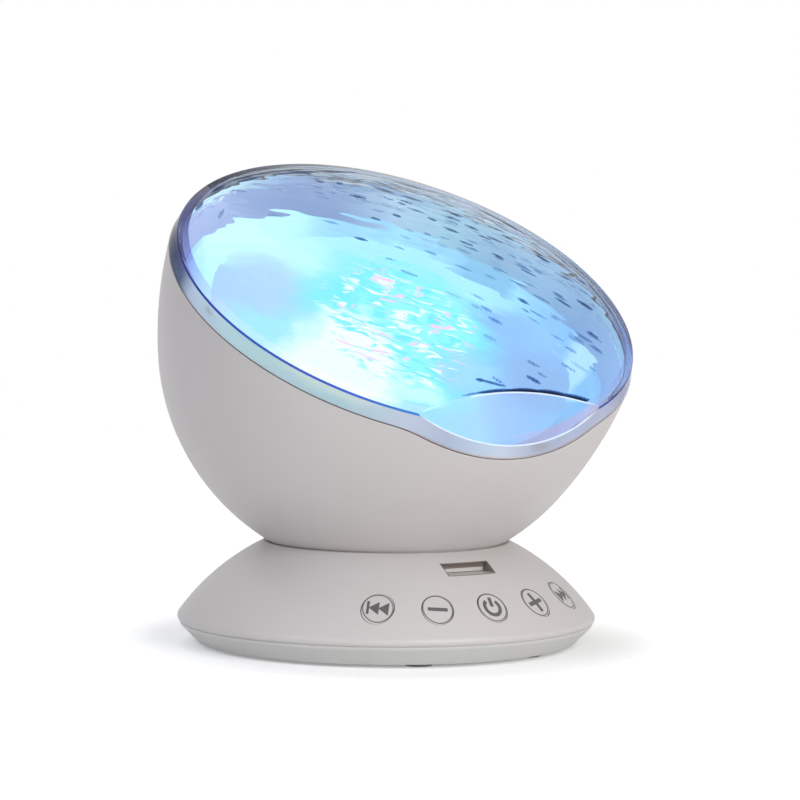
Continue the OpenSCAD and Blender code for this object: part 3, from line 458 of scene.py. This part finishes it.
# The cover's surfaces, in the order of its materials
COVER_FINISHES = (
    dome_glass(),
    rim_glass("cover_corner", CORNER_SHADING, 0.1),
    rim_glass("cover_skirt", SKIRT_SHADING, 0.4),
    SEAT_SHADE,
    glass("cover_inside", (244, 251, 255))[0],
    leaf_glass(),
    # Pale ring round the facet: a painted highlight of its edge
    glass("facet_edge_highlight", (232, 240, 252), transmission=0.2, roughness=0.2, bend=EDGE_BEND)[0],
    rim_glass("cover_rim", RIM_SHADING, 0.8, roughness=0.02),
)
ON_DOME, ON_CORNER, ON_SKIRT, ON_SEAT, ON_INSIDE, ON_LEAF, ON_LEAF_EDGE, ON_RIM = range(len(COVER_FINISHES))

LED = new_material("led_epoxy", {"Base Color": (0.8, 0.8, 0.8, 1), "Roughness": 0.4,
                                 "Emission Color": (0.85, 0.97, 1.0, 1), "Emission Strength": 3.0})[0]
FINISH_OF_SLOT = {
    "body_plastic": BODY, "foot_rubber": RUBBER, "screw_steel": STEEL, "black_plastic": BLACK,
    "speaker_paper": PAPER, "magnet_steel": STEEL, "board_laminate": BOARD, "socket_steel": STEEL,
    # The reflector and the wave disc carry the painted glow of the light inside the bowl
    "window_plastic": WINDOW, "white_plastic": WHITE, "reflector_white": glow("reflector_white", 0.94),
    "white_board": WHITE, "led_epoxy": LED, "bush_brass": BRASS, "motor_steel": STEEL, "gear_plastic": GEAR,
    "wave_acrylic": glow("wave_acrylic", 0.98), "clear_cover": COVER_FINISHES[ON_INSIDE],
    "plunger_plastic": PLUNGER,
}
slot_of = {part["node"]: part["material_slot"] for part in frame["record"]["subparts"]}
for name, piece in nodes.items():
    piece.data.materials.clear()
    piece.data.materials.append(FINISH_OF_SLOT[slot_of[name]])
nodes["base_tray"].data.materials[0] = TRAY
nodes["bowl_shell"].data.materials[0] = bowl_plastic()


# Pieces

def new_object(name, data):
    made = bpy.data.objects.new(name, data)
    bpy.context.scene.collection.objects.link(made)
    return made


def finished(name, shape, *finishes):
    """The piece that a bmesh describes, with its materials in the order of the faces' numbers."""
    mesh = bpy.data.meshes.new(name)
    shape.to_mesh(mesh)
    shape.free()
    for finish in finishes:
        mesh.materials.append(finish)
    return new_object(name, mesh)


def shaped(piece, tree, values):
    """Runs a geometry tree on a piece and keeps the plain mesh that comes out."""
    modifier = piece.modifiers.new(tree.name, "NODES")
    modifier.node_group = tree
    for item in tree.interface.items_tree:
        if item.in_out == "INPUT" and item.name in values:
            modifier[item.identifier] = values[item.name]
    graph = bpy.context.evaluated_depsgraph_get()
    mesh = bpy.data.meshes.new_from_object(piece.evaluated_get(graph), depsgraph=graph)
    piece.modifiers.remove(modifier)
    piece.data = mesh
    return mesh


def write_values(mesh, name, values):
    """Keeps one number for each point of a mesh, under a name."""
    layer = mesh.attributes.new(name, "FLOAT", "POINT")
    layer.data.foreach_set("value", values.astype(np.float32))


def smooth_step(low, high, value):
    t = np.clip((value - low) / (high - low), 0, 1)
    return t * t * (3 - 2 * t)


# Clear cover: rings of points from the tip over the outside, under the seat and back along the inside

SEGMENTS = 480
DOME_REACH = COVER_R - CORNER_ROUND
DOME_R = (DOME_REACH ** 2 + CROWN ** 2) / (2 * CROWN)
# Rings of the dome: the first one's radius, how many up to a radius and past it, the turn left to the edge
TIP_R = 0.3
MIDDLE_RINGS = 62
EDGE_FROM = 46.0
EDGE_RINGS = 68
EDGE_SHORT = math.radians(0.6)
# Rings of the corner, and the turn above which they belong to the rim
CORNER_RINGS = 9
CORNER_FROM = math.radians(42)
# Rings of the dome's inside, how far they stop short of the wall, and where the wall starts above the seat
INNER_RINGS = 24
INNER_CORNER = 0.8
INNER_LIFT = 0.4
# The skirt stands this far inside the bowl's outline, and a dark line of painted shade this high runs along
# the seat
SKIN = 0.15
SEAT_SHADE_H = 0.35
# Rounds in which a seat ring's height and radius settle, and rings part of the way down the skirt
SEAT_ROUNDS = 12
SKIRT_SHARES = (0.33, 0.66)
# How near the facet's plane a point counts as on it
CUT_SLACK = 0.0005
SHARP_FROM = math.radians(24)
# Pale ring round the facet, a painted highlight along its edge: its width, its taper to the corners, and the
# left end of its upper side
RING_W = 0.42
RING_TAPER = 5.0
RING_END = 0.02
LEAF_EDGE_FROM = -12.0
# Ripples: rise, size along the view, how many times wider they are across it, the noise's level of no rise
# and its seed, and the turn of the view
RIPPLE_H = 0.9
RIPPLE_LENGTH = 7.0
RIPPLE_STRETCH = 2.2
RIPPLE_LEVEL = 0.75
RIPPLE_SEED = 7.0
VIEW_TURN = math.radians(-32.8)
# They fade towards the rim, by distance from the axis, and towards the facet, by depth under its plane
FADE_AT_RIM = (57.5, 63.0)
FADE_AT_FACET = (0.4, 6.0)


def bowl_radius(h):
    return RIM_CURVE_C[0] + np.sqrt(RIM_CURVE_R ** 2 - (h - RIM_CURVE_C[1]) ** 2)


def seat_height(y, lift):
    """Height of the line between bowl and cover, which turns down at the front."""
    start = -DIP_CHORD + DIP_ROUND * math.tan(DIP_SLOPE / 2)
    end = start - DIP_ROUND * math.sin(DIP_SLOPE)
    level = RIM_H + lift
    curve = level - DIP_ROUND + np.sqrt(np.maximum(DIP_ROUND ** 2 - (y - start) ** 2, 0))
    slope = level + (y + DIP_CHORD) * math.tan(DIP_SLOPE)
    return np.where(y > start, level, np.where(y > end, curve, slope))


def dome_height(radius, inset):
    return COVER_H + CROWN - DOME_R + np.sqrt((DOME_R - inset) ** 2 - radius ** 2)


def ring(radius, height, turns):
    """Points at one radius and height; both may change round the ring."""
    radius = np.broadcast_to(radius, turns.shape)
    height = np.broadcast_to(height, turns.shape)
    return np.stack([radius * np.sin(turns), -radius * np.cos(turns), height], -1)


def seat_ring(inset, lift, turns):
    """A ring on the bowl's wall, at the seat line raised by lift."""
    height = np.full(turns.shape, RIM_H + lift)
    for _ in range(SEAT_ROUNDS):
        height = seat_height(-(bowl_radius(height) - inset) * np.cos(turns), lift)
    return ring(bowl_radius(height) - inset, height, turns)


def cover_rings():
    """The rings from the outer tip to the inner one, and the surface that ends at each."""
    turns = np.linspace(0, 2 * np.pi, SEGMENTS, endpoint=False)
    dome_turn = math.acos(DOME_REACH / DOME_R)
    dome_edge = DOME_R * math.cos(dome_turn + EDGE_SHORT)
    rings = []
    surfaces = []

    def add(points, surface):
        rings.append(points)
        surfaces.append(surface)

    middle = np.linspace(TIP_R, EDGE_FROM, MIDDLE_RINGS, endpoint=False)
    for radius in np.concatenate([middle, np.linspace(EDGE_FROM, dome_edge, EDGE_RINGS)]):
        add(ring(radius, dome_height(radius, 0), turns), ON_DOME)
    for angle in np.linspace(dome_turn, 0, CORNER_RINGS):
        low = CORNER_ROUND * (1 - math.sin(angle))
        add(ring(DOME_REACH + CORNER_ROUND * math.cos(angle), COVER_H - low, turns),
            ON_RIM if angle > CORNER_FROM else ON_CORNER)
    top = rings[-1]
    line = seat_ring(SKIN, SEAT_GAP + SEAT_SHADE_H, turns)
    for share in SKIRT_SHARES:
        add(top + (line - top) * share, ON_SKIRT)
    add(line, ON_SKIRT)
    add(seat_ring(SKIN, SEAT_GAP, turns), ON_SEAT)
    for inset, lift in ((REBATE_T, 0), (REBATE_T, -REBATE_H), (BOWL_WALL, -REBATE_H),
                        (BOWL_WALL, INNER_LIFT)):
        add(seat_ring(inset + SEAT_GAP, SEAT_GAP + lift, turns), ON_INSIDE)
    inner_r = COVER_R - COVER_WALL
    add(ring(inner_r, COVER_H - COVER_WALL, turns), ON_INSIDE)
    for radius in np.linspace(inner_r - INNER_CORNER, TIP_R, INNER_RINGS):
        add(ring(radius, dome_height(radius, COVER_WALL), turns), ON_INSIDE)
    return rings, surfaces


def facet_plane(inset):
    """A point and the outward normal of the front facet, moved in by inset."""
    normal = Vector((0, -math.sin(FACET_SLOPE), math.cos(FACET_SLOPE)))
    return Vector((0, -FACET_CHORD, COVER_H)) - normal * inset, normal


def cut_facet(shape, inset, inside):
    """Cuts the front facet in the outer or the inner skin and closes it with a flat leaf."""
    at, normal = facet_plane(inset)
    skin = [face for face in shape.faces if (face.material_index == ON_INSIDE) == inside]
    edges = dict.fromkeys(edge for face in skin for edge in face.edges)
    verts = dict.fromkeys(vert for face in skin for vert in face.verts)
    cut = bmesh.ops.bisect_plane(shape, geom=[*verts, *edges, *skin], plane_co=at, plane_no=normal,
                                 clear_outer=True, dist=CUT_SLACK)
    rim = [item for item in cut["geom_cut"]
           if isinstance(item, bmesh.types.BMEdge) and len(item.link_faces) == 1]
    leaf = bmesh.ops.contextual_create(shape, geom=rim)["faces"][0]
    leaf.material_index = ON_INSIDE if inside else ON_LEAF
    leaf.normal_update()
    if (leaf.normal.dot(normal) > 0) == inside:
        leaf.normal_flip()
    if not inside:
        ring_leaf(shape, leaf)


def ring_leaf(shape, leaf):
    """Splits the leaf into a narrow pale ring of painted highlight, which tapers to both corners, and the
    rest inside it.
    """
    outline = list(leaf.verts)
    count = len(outline)
    corner = max(vert.co.x for vert in outline)
    normal = leaf.normal.copy()
    inside = []
    for i, vert in enumerate(outline):
        along = (outline[(i + 1) % count].co - outline[i - 1].co).normalized()
        inset = RING_W * max(RING_END, min(1, (corner - abs(vert.co.x)) / RING_TAPER))
        inside.append(shape.verts.new(vert.co + normal.cross(along) * inset))
    bmesh.ops.delete(shape, geom=[leaf], context="FACES_ONLY")
    for i in range(count):
        k = (i + 1) % count
        face = shape.faces.new((outline[i], outline[k], inside[k], inside[i]))
        middle = face.calc_center_median()
        upper = middle.y > -FACET_CHORD
        face.material_index = ON_LEAF if upper and middle.x < LEAF_EDGE_FROM else ON_LEAF_EDGE
    shape.faces.new(inside).material_index = ON_LEAF


def build_ripple_tree():
    """Geometry tree: raises and lowers the dome in long bumps, by its "ripple_share" attribute."""
    group, given, out = new_group(
        "cover_ripples", "GeometryNodeTree",
        {"Geometry": "Geometry", "Height": "Float", "Length": "Float", "Stretch": "Float", "Turn": "Float",
         "Seed": "Float", "Finish": "Material"},
        {"Geometry": "Geometry"})
    at = place(group, "GeometryNodeInputPosition").outputs["Position"]
    turned = place(group, "ShaderNodeVectorRotate", {"Vector": at, "Angle": given["Turn"]},
                   rotation_type="Z_AXIS")
    narrow = place(group, "ShaderNodeCombineXYZ", {"X": maths(group, "DIVIDE", 1, given["Stretch"]), "Y": 1})
    squeezed = vectors(group, "MULTIPLY", turned.outputs["Vector"], narrow.outputs["Vector"])
    waves = noise(group, squeezed, maths(group, "DIVIDE", 1, given["Length"]), 1, {"W": given["Seed"]},
                  noise_dimensions="4D")
    level = maths(group, "SUBTRACT", waves.outputs["Fac"], RIPPLE_LEVEL)
    share = place(group, "GeometryNodeInputNamedAttribute", {"Name": "ripple_share"}, data_type="FLOAT")
    height = maths(group, "MULTIPLY", level, given["Height"])
    rise = maths(group, "MULTIPLY", height, share.outputs["Attribute"])
    offset = place(group, "ShaderNodeCombineXYZ", {"Z": rise}).outputs["Vector"]
    moved = place(group, "GeometryNodeSetPosition", {"Geometry": given["Geometry"], "Offset": offset})
    real = place(group, "GeometryNodeRealizeInstances", {"Geometry": moved.outputs["Geometry"]})
    surface = place(group, "GeometryNodeInputMaterialIndex").outputs["Material Index"]
    dome = place(group, "FunctionNodeCompare", {2: surface, 3: ON_DOME}, data_type="INT", operation="EQUAL")
    finish = place(group, "GeometryNodeSetMaterial",
                   {"Geometry": real.outputs["Geometry"], "Selection": dome.outputs["Result"],
                    "Material": given["Finish"]})
    feed(group, out, "Geometry", finish.outputs["Geometry"])
    return group


def ripple_share(points):
    """How much of the ripples is left at each point: none at the rim and along the facet."""
    at, normal = facet_plane(0)
    depth = -((points - np.array(at)) @ np.array(normal))
    rim = 1 - smooth_step(*FADE_AT_RIM, np.hypot(points[..., 0], points[..., 1]))
    return rim * smooth_step(*FADE_AT_FACET, depth)


def build_cover():
    rings, surfaces = cover_rings()
    shape = bmesh.new()
    rows = [[shape.verts.new(point) for point in row] for row in rings]
    for j in range(len(rows) - 1):
        for i in range(SEGMENTS):
            k = (i + 1) % SEGMENTS
            face = shape.faces.new((rows[j][k], rows[j][i], rows[j + 1][i], rows[j + 1][k]))
            face.material_index = surfaces[j + 1]
    outer_tip = shape.verts.new((0, 0, rings[0][:, 2].mean()))
    inner_tip = shape.verts.new((0, 0, dome_height(0, COVER_WALL)))
    for i in range(SEGMENTS):
        k = (i + 1) % SEGMENTS
        shape.faces.new((outer_tip, rows[0][i], rows[0][k])).material_index = ON_DOME
        shape.faces.new((inner_tip, rows[-1][k], rows[-1][i])).material_index = ON_INSIDE
    for inset, inside in ((0, False), (COVER_WALL, True)):
        cut_facet(shape, inset, inside)
    shape.verts.index_update()
    dome = [face for face in shape.faces if face.material_index == ON_DOME]
    on_dome = list({vert.index for face in dome for vert in face.verts})
    cover = finished("rippled_cover", shape, *COVER_FINISHES)
    at = np.array([vert.co for vert in cover.data.vertices])
    share = np.zeros(len(at))
    share[on_dome] = ripple_share(at[on_dome])
    write_values(cover.data, "ripple_share", share)
    mesh = shaped(cover, build_ripple_tree(), {
        "Height": RIPPLE_H, "Length": RIPPLE_LENGTH, "Stretch": RIPPLE_STRETCH, "Turn": -VIEW_TURN,
        "Seed": RIPPLE_SEED, "Finish": COVER_FINISHES[ON_DOME]})
    mesh.transform(HEAD)
    mesh.shade_smooth()
    mesh.set_sharp_from_angle(angle=SHARP_FROM)
    paint_stroke_shade(mesh)
    return cover


# Painted shade on the cover, in dark strokes

# Short dashes of painted shade: how many, the square and the circle they are drawn in, and where they grow
# dense
DASH_SEED = 11
DASH_COUNT = 150
DASH_SQUARE = 60
DASH_CIRCLE = 58
DASH_DENSE = (-25, 45)
DASH_DENSE_WAY = (0.55, 0.8)
DASH_ALONG = (0.77, -0.64)
# The share of dark ones where dense, the strengths of dark and pale ones, and half their length and width
DASH_DARK = 0.4
DARK_STRENGTH = (0.75, 1)
PALE_STRENGTH = (0.2, 0.5)
DASH_HALF = (1.1, 2.6)
DASH_HALF_W = (0.4, 0.85)
# Long dark streaks of painted shade under the far rim: start, end, half width, strength
STREAKS = [
    ((-16, 56), (13, 58), 1.0, 0.9), ((44, 38), (53, 24), 0.8, 1.0), ((24, 52), (33, 46), 0.8, 0.9),
    ((-46, 31), (-42, 36), 0.5, 0.4), ((-49, 38.5), (-45, 42.5), 0.6, 0.9), ((-39, 48), (-34, 51), 0.6, 0.9),
    ((-29, 52.6), (-19, 55.2), 0.55, 0.8),
]
# Dark streaks of painted shade along the upper edge of the facet, thickest at its right, and the wisp above
# its left
CREASE_STREAKS = [
    ((-14, -55.4), (-8, -54.9), 0.35, 0.5), ((-9, -54.9), (4, -54.7), 0.65, 0.95),
    ((0, -54.7), (12, -55.1), 0.8, 1.0), ((9, -54.9), (20, -56.1), 0.9, 1.0),
    ((17, -55.7), (28.5, -57.7), 0.85, 1.0), ((-7.5, -50.6), (-5.5, -50.9), 0.6, 0.9),
    ((-7.5, -50.3), (0.3, -53.4), 0.4, 0.85), ((-2.5, -49.6), (0, -52.6), 0.3, 0.6),
]
# A streak's width at its ends as a share of its middle's, and where its edge fades, in half widths
END_SHARE = 0.35
EDGE_FADE = (0.6, 1.5)


def dash_marks():
    """Dashes of painted shade on the dome: middle, half length, half width and strength, in the leaning
    frame.
    """
    rng = np.random.default_rng(DASH_SEED)
    cos, sin = math.cos(VIEW_TURN), math.sin(VIEW_TURN)
    marks = []
    while len(marks) < DASH_COUNT:
        across, away = rng.uniform(-DASH_SQUARE, DASH_SQUARE, 2)
        if math.hypot(across, away) > DASH_CIRCLE:
            continue
        dense = smooth_step(*DASH_DENSE, across * DASH_DENSE_WAY[0] + away * DASH_DENSE_WAY[1])
        if rng.uniform() > dense:
            continue
        middle = (across * cos - away * sin, across * sin + away * cos)
        dark = rng.uniform() < DASH_DARK * dense
        strength = rng.uniform(*(DARK_STRENGTH if dark else PALE_STRENGTH))
        marks.append((middle, rng.uniform(*DASH_HALF), rng.uniform(*DASH_HALF_W), strength))
    return marks


def mark_line(dark, points, start, end, width, strength):
    """Darkens the points near a line, which tapers to both ends."""
    span = end - start
    share = np.clip(((points - start) @ span) / (span @ span), 0, 1)
    away = np.linalg.norm(points - start - share[:, None] * span, axis=1)
    taper = width * (END_SHARE + (1 - END_SHARE) * np.sin(share * math.pi))
    np.maximum(dark, strength * (1 - smooth_step(*EDGE_FADE, away / taper)), out=dark)


def paint_stroke_shade(mesh):
    """Writes how dark the cover's painted shade is at each point, from the dashes and the long streaks."""
    flat = np.empty(len(mesh.vertices) * 3)
    mesh.vertices.foreach_get("co", flat)
    lean = np.array(HEAD.inverted())
    points = (flat.reshape(-1, 3) @ lean[:3, :3].T + lean[:3, 3])[:, :2]
    dark = np.zeros(len(points))
    along = np.array(DASH_ALONG) / math.hypot(*DASH_ALONG)
    for middle, half, width, strength in dash_marks():
        start = np.array(middle) - along * half
        mark_line(dark, points, start, start + 2 * half * along, width, strength)
    for start, end, width, strength in STREAKS + CREASE_STREAKS:
        mark_line(dark, points, np.array(start), np.array(end), width, strength)
    write_values(mesh, "stroke_shade", dark)


cover = build_cover()
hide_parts("lens_cover")
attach(cover, "housing")


# Keys' signs, printed on the base's flank, whose section is an arc

FLANK_R = 63.0
FLANK_X = 7.0
FLANK_Z = -28.2
# Keys: height of the middle one, how the row rises to its ends, the turn between two, and a cap's radius
KEY_Z = 15.4
KEY_RISE = 0.12
KEY_STEP = math.radians(17.6)
KEY_R = 4.2
# The flank cuts a round key at a slant, so its outline and its sign are this much longer up the flank
STRETCH = 1.11
PRINT_H = 0.04
SIGN_W = 1.0
PLUS_W = 1.1
RING_SHADE_W = 0.28
RING_INSET = 0.02
RING_STEPS = 72
# Longest edge of a print, so that it can follow the flank, and the rounds of cuts that bring it there
SIGN_CELL = 0.7
SIGN_ROUNDS = 4
WELD = 0.001
# How far each sign is turned on its key, in degrees
SIGN_TURNS = (-5, -5, -6, 10, 5)


def on_flank(turn, height, across, up, lift):
    """A point on the base's flank: across and up from a place on it, raised by lift."""
    angle = math.asin((height - FLANK_Z) / FLANK_R) + up / FLANK_R
    radius = FLANK_X + (FLANK_R + lift) * math.cos(angle)
    height = FLANK_Z + (FLANK_R + lift) * math.sin(angle)
    turn += across / radius
    return Vector((radius * math.sin(turn), -radius * math.cos(turn), height))


def bar(start, end, width):
    start, end = Vector(start), Vector(end)
    along = end - start
    side = Vector((-along.y, along.x)).normalized() * width / 2
    return [start - side, end - side, end + side, start + side]


def arc_strip(radius, width, first, last, count):
    """Quads along an arc; angles in degrees from the top, clockwise."""
    turns = [math.radians(first + (last - first) * i / count) for i in range(count + 1)]
    rim = [(Vector((math.sin(t), math.cos(t))) * (radius - width / 2),
            Vector((math.sin(t), math.cos(t))) * (radius + width / 2)) for t in turns]
    return [[low[0], low[1], high[1], high[0]] for low, high in zip(rim, rim[1:])]


def skip_sign(side):
    """Two triangles and a bar; side is -1 for back and 1 for forward."""
    outlines = ([(-2.9, -1.9), (-0.1, 0), (-2.9, 1.9)], [(-0.3, -1.9), (2.5, 0), (-0.3, 1.9)],
                [(2.3, -1.9), (3.0, -1.9), (3.0, 1.9), (2.3, 1.9)])
    return [[Vector((x * side, y)) for x, y in outline] for outline in outlines]


# The plus is one bar across and two short ones, so that no two of its faces overlap
SIGNS = {
    "previous": skip_sign(-1),
    "minus": [bar((-2.7, 0), (2.7, 0), SIGN_W)],
    "power": arc_strip(2.25, SIGN_W, 38, 322, 30) + [bar((0, 0.2), (0, 3.0), SIGN_W)],
    "plus": [bar((-2.9, 0), (2.9, 0), PLUS_W), bar((0, -2.9), (0, -PLUS_W / 2), PLUS_W),
             bar((0, PLUS_W / 2), (0, 2.9), PLUS_W)],
    "next": skip_sign(1),
}


def printed(name, shapes, turn, height, twist, ink):
    """Flat shapes as a thin raised print that follows the flank, closed underneath."""
    flat = bmesh.new()
    for shape in shapes:
        flat.faces.new([flat.verts.new((point.x, point.y, 0)) for point in shape])
    bmesh.ops.remove_doubles(flat, verts=flat.verts, dist=WELD)
    for _ in range(SIGN_ROUNDS):
        wide = [edge for edge in flat.edges if edge.calc_length() > SIGN_CELL]
        if wide:
            bmesh.ops.subdivide_edges(flat, edges=wide, cuts=1, use_grid_fill=True)
        bmesh.ops.triangulate(flat, faces=[face for face in flat.faces if len(face.verts) > 4])
    bmesh.ops.recalc_face_normals(flat, faces=flat.faces)
    low = {}
    spin = Matrix.Rotation(math.radians(twist), 2)
    tops = list(flat.faces)
    for vert in list(flat.verts):
        at = spin @ vert.co.xy
        vert.co = on_flank(turn, height, at.x, at.y * STRETCH, PRINT_H) * MM
        low[vert] = flat.verts.new(on_flank(turn, height, at.x, at.y * STRETCH, -PRINT_H) * MM)
    rim = [edge for edge in flat.edges if len(edge.link_faces) == 1]
    for edge in rim:
        first, second = edge.verts
        flat.faces.new((first, second, low[second], low[first]))
    for face in tops:
        flat.faces.new([low[vert] for vert in reversed(face.verts)])
    bmesh.ops.recalc_face_normals(flat, faces=flat.faces)
    return finished(name, flat, ink)


def build_signs():
    # Each key gets its printed sign, and a dark ring of painted shade along its edge beside the gap
    key_ring = arc_strip(KEY_R - RING_SHADE_W / 2 - RING_INSET, RING_SHADE_W, 0, 360, RING_STEPS)
    for i, (name, shapes) in enumerate(SIGNS.items()):
        steps = i - len(SIGNS) // 2
        turn = steps * KEY_STEP
        height = KEY_Z + KEY_RISE * steps ** 2
        for piece in (printed(name + "_sign", shapes, turn, height, SIGN_TURNS[i], INK),
                      printed(name + "_ring", key_ring, turn, height, 0, RING_SHADE)):
            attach(piece, name + "_key")


# Painted shade in the window's recess

WINDOW_HALF = 7.7
WINDOW_Z = (23.1, 26.1)
RECESS_SHADE_T = 0.28
RECESS_SHADE_BACK = -36.97
RECESS_SHADE_SUNK = 0.05
RECESS_SHADE_STEPS = 14
SHADE_BAND_LOW = 24.4
SHADE_BAND_T = 0.2
SHADE_BAND_OUT = 0.12
# Which of the recess shade's materials, shade, side shade and window, is on its sill, right side, top and
# left side
RECESS_SHADE_FINISHES = (2, 1, 0, 0)


def recess_shade_front(x, z):
    """Where the flank is in front of a point of the recess's painted shade, less a little."""
    radius = FLANK_X + math.sqrt(FLANK_R ** 2 - (z - FLANK_Z) ** 2)
    return -math.sqrt(radius ** 2 - x ** 2) + RECESS_SHADE_SUNK


def build_recess_shade():
    """A thin sleeve inside the window's recess that carries its painted shade, dark at the top and left and
    grey at the right, with a brown band of painted shade over the pane.
    """
    low, high = WINDOW_Z
    shape = bmesh.new()
    loops = []
    for side, sill, top in ((WINDOW_HALF, low, high),
                            (WINDOW_HALF - RECESS_SHADE_T, low + RECESS_SHADE_T / 2, high - RECESS_SHADE_T)):
        corners = [(-side, sill), (side, sill), (side, top), (-side, top)]
        points = []
        for (x, z), (next_x, next_z) in zip(corners, corners[1:] + corners[:1]):
            for step in range(RECESS_SHADE_STEPS):
                share = step / RECESS_SHADE_STEPS
                points.append((x + (next_x - x) * share, z + (next_z - z) * share))
        loops.append([shape.verts.new(Vector((x, recess_shade_front(x, z), z)) * MM) for x, z in points])
        loops.append([shape.verts.new(Vector((x, RECESS_SHADE_BACK, z)) * MM) for x, z in points])
    outer_front, outer_back, inner_front, inner_back = loops
    for first, second in ((outer_front, outer_back), (outer_back, inner_back), (inner_back, inner_front),
                          (inner_front, outer_front)):
        for i in range(len(first)):
            k = (i + 1) % len(first)
            face = shape.faces.new((first[i], first[k], second[k], second[i]))
            face.material_index = RECESS_SHADE_FINISHES[i // RECESS_SHADE_STEPS] if first is inner_back else 0
    bmesh.ops.recalc_face_normals(shape, faces=shape.faces)
    shade_band = bmesh.ops.create_cube(shape, size=1)["verts"]
    tall = high - SHADE_BAND_LOW - RECESS_SHADE_T / 2
    width = 2 * (WINDOW_HALF - RECESS_SHADE_T)
    middle = Vector((0, RECESS_SHADE_BACK - SHADE_BAND_OUT, SHADE_BAND_LOW + tall / 2))
    bmesh.ops.scale(shape, vec=(width * MM, SHADE_BAND_T * MM, tall * MM), verts=shade_band)
    bmesh.ops.translate(shape, vec=middle * MM, verts=shade_band)
    recess_shade = finished("window_recess_shade", shape, SHADE, SIDE_SHADE, WINDOW)
    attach(recess_shade, "housing")


build_signs()
build_recess_shade()


# Stage, light and camera, in metres

# The room's light on things
AMBIENT = 0.35
# The floor's own whiteness close round the object, lower there as a painted contact shadow, and further out,
# and where it changes
FLOOR_LIFT = (0.25, 0.47)
FLOOR_LIFT_REACH = (0.062, 0.086)
FLOOR_COLOUR = (0.98, 0.98, 0.98, 1)
FLOOR_R = 0.75
FLOOR_SIDES = 96
# Lamps: name, turn from the front and height angle in degrees, watts, colour
LAMPS = [("front_light", 1, 14, 23.5, (1, 1, 0.97)), ("left_light", -80, 30, 8.3, (0.78, 0.85, 1)),
         ("back_light", 175, 50, 6.5, (1, 1, 1))]
LAMP_AIM = Vector((0, 0, 0.06))
LAMP_AWAY = 1.9
LAMP_SIZE = 1.1
# Camera, left of the front: the point it looks at and where that is in the photograph, in its pixels
IMAGE_W = 800
CAMERA_AT = Vector((-0.4973, -0.7728, 0.1275))
AIM_AT = Vector((0.0, 0.0, 0.06853))
AIM_PX = (387.8, 397.4)
FOCAL_PX = 3294.8
CAMERA_ROLL = math.radians(0.44)
CAMERA_REACH = 20
SENSOR_MM = 36.0


def seen_share(tree):
    """1 for camera, glossy and transmission rays, and 0 for the light that falls on things."""
    path = place(tree, "ShaderNodeLightPath").outputs
    glossy = maths(tree, "MAXIMUM", path["Is Camera Ray"], path["Is Glossy Ray"])
    return maths(tree, "MAXIMUM", glossy, path["Is Transmission Ray"])


def build_floor():
    turns = [2 * math.pi * i / FLOOR_SIDES for i in range(FLOOR_SIDES)]
    mesh = bpy.data.meshes.new("floor")
    mesh.from_pydata([(FLOOR_R * math.cos(t), FLOOR_R * math.sin(t), 0) for t in turns], [],
                     [tuple(range(FLOOR_SIDES))])
    material = bpy.data.materials.new("floor_paper")
    material.use_nodes = True
    tree = material.node_tree
    tree.nodes.clear()
    away = vectors(tree, "LENGTH", place(tree, "ShaderNodeTexCoord").outputs["Object"])
    # Less whiteness close round the object: a painted contact shadow on the floor
    lift = eased(tree, away, *FLOOR_LIFT_REACH, *FLOOR_LIFT)
    paper = place(tree, "ShaderNodeBsdfDiffuse", {"Color": FLOOR_COLOUR})
    white = place(tree, "ShaderNodeEmission", {"Strength": maths(tree, "MULTIPLY", seen_share(tree), lift)})
    both = place(tree, "ShaderNodeAddShader", {0: paper.outputs["BSDF"], 1: white.outputs["Emission"]})
    place(tree, "ShaderNodeOutputMaterial", {"Surface": both.outputs["Shader"]})
    mesh.materials.append(material)
    new_object("floor", mesh)


def build_world():
    world = bpy.data.worlds.new("studio")
    world.use_nodes = True
    tree = world.node_tree
    background = tree.nodes["Background"]
    feed(tree, background, "Color", (1, 1, 1, 1))
    feed(tree, background, "Strength", maths(tree, "MULTIPLY_ADD", seen_share(tree), 1 - AMBIENT, AMBIENT))
    bpy.context.scene.world = world


def build_lamps():
    for name, side, rise, watts, colour in LAMPS:
        data = bpy.data.lights.new(name, "AREA")
        data.shape = "RECTANGLE"
        data.size = LAMP_SIZE
        data.size_y = LAMP_SIZE
        data.energy = watts
        data.color = colour
        lamp = new_object(name, data)
        turn, lift = math.radians(side), math.radians(rise)
        way = Vector((math.cos(lift) * math.sin(turn), -math.cos(lift) * math.cos(turn), math.sin(lift)))
        lamp.location = LAMP_AIM + LAMP_AWAY * way
        lamp.rotation_euler = (-way).to_track_quat("-Z", "Y").to_euler()


def build_camera():
    data = bpy.data.cameras.new("camera")
    data.sensor_width = SENSOR_MM
    data.lens = FOCAL_PX * SENSOR_MM / IMAGE_W
    data.shift_x = (IMAGE_W / 2 - AIM_PX[0]) / IMAGE_W
    data.shift_y = (AIM_PX[1] - IMAGE_W / 2) / IMAGE_W
    data.clip_end = CAMERA_REACH
    camera = new_object("camera", data)
    camera.location = CAMERA_AT
    look = (AIM_AT - CAMERA_AT).to_track_quat("-Z", "Y")
    camera.rotation_euler = (look @ Matrix.Rotation(CAMERA_ROLL, 3, "Z").to_quaternion()).to_euler()
    bpy.context.scene.camera = camera


build_floor()
build_world()
build_lamps()
build_camera()
bpy.context.scene.view_settings.view_transform = "Standard"

bpy.context.view_layer.update()
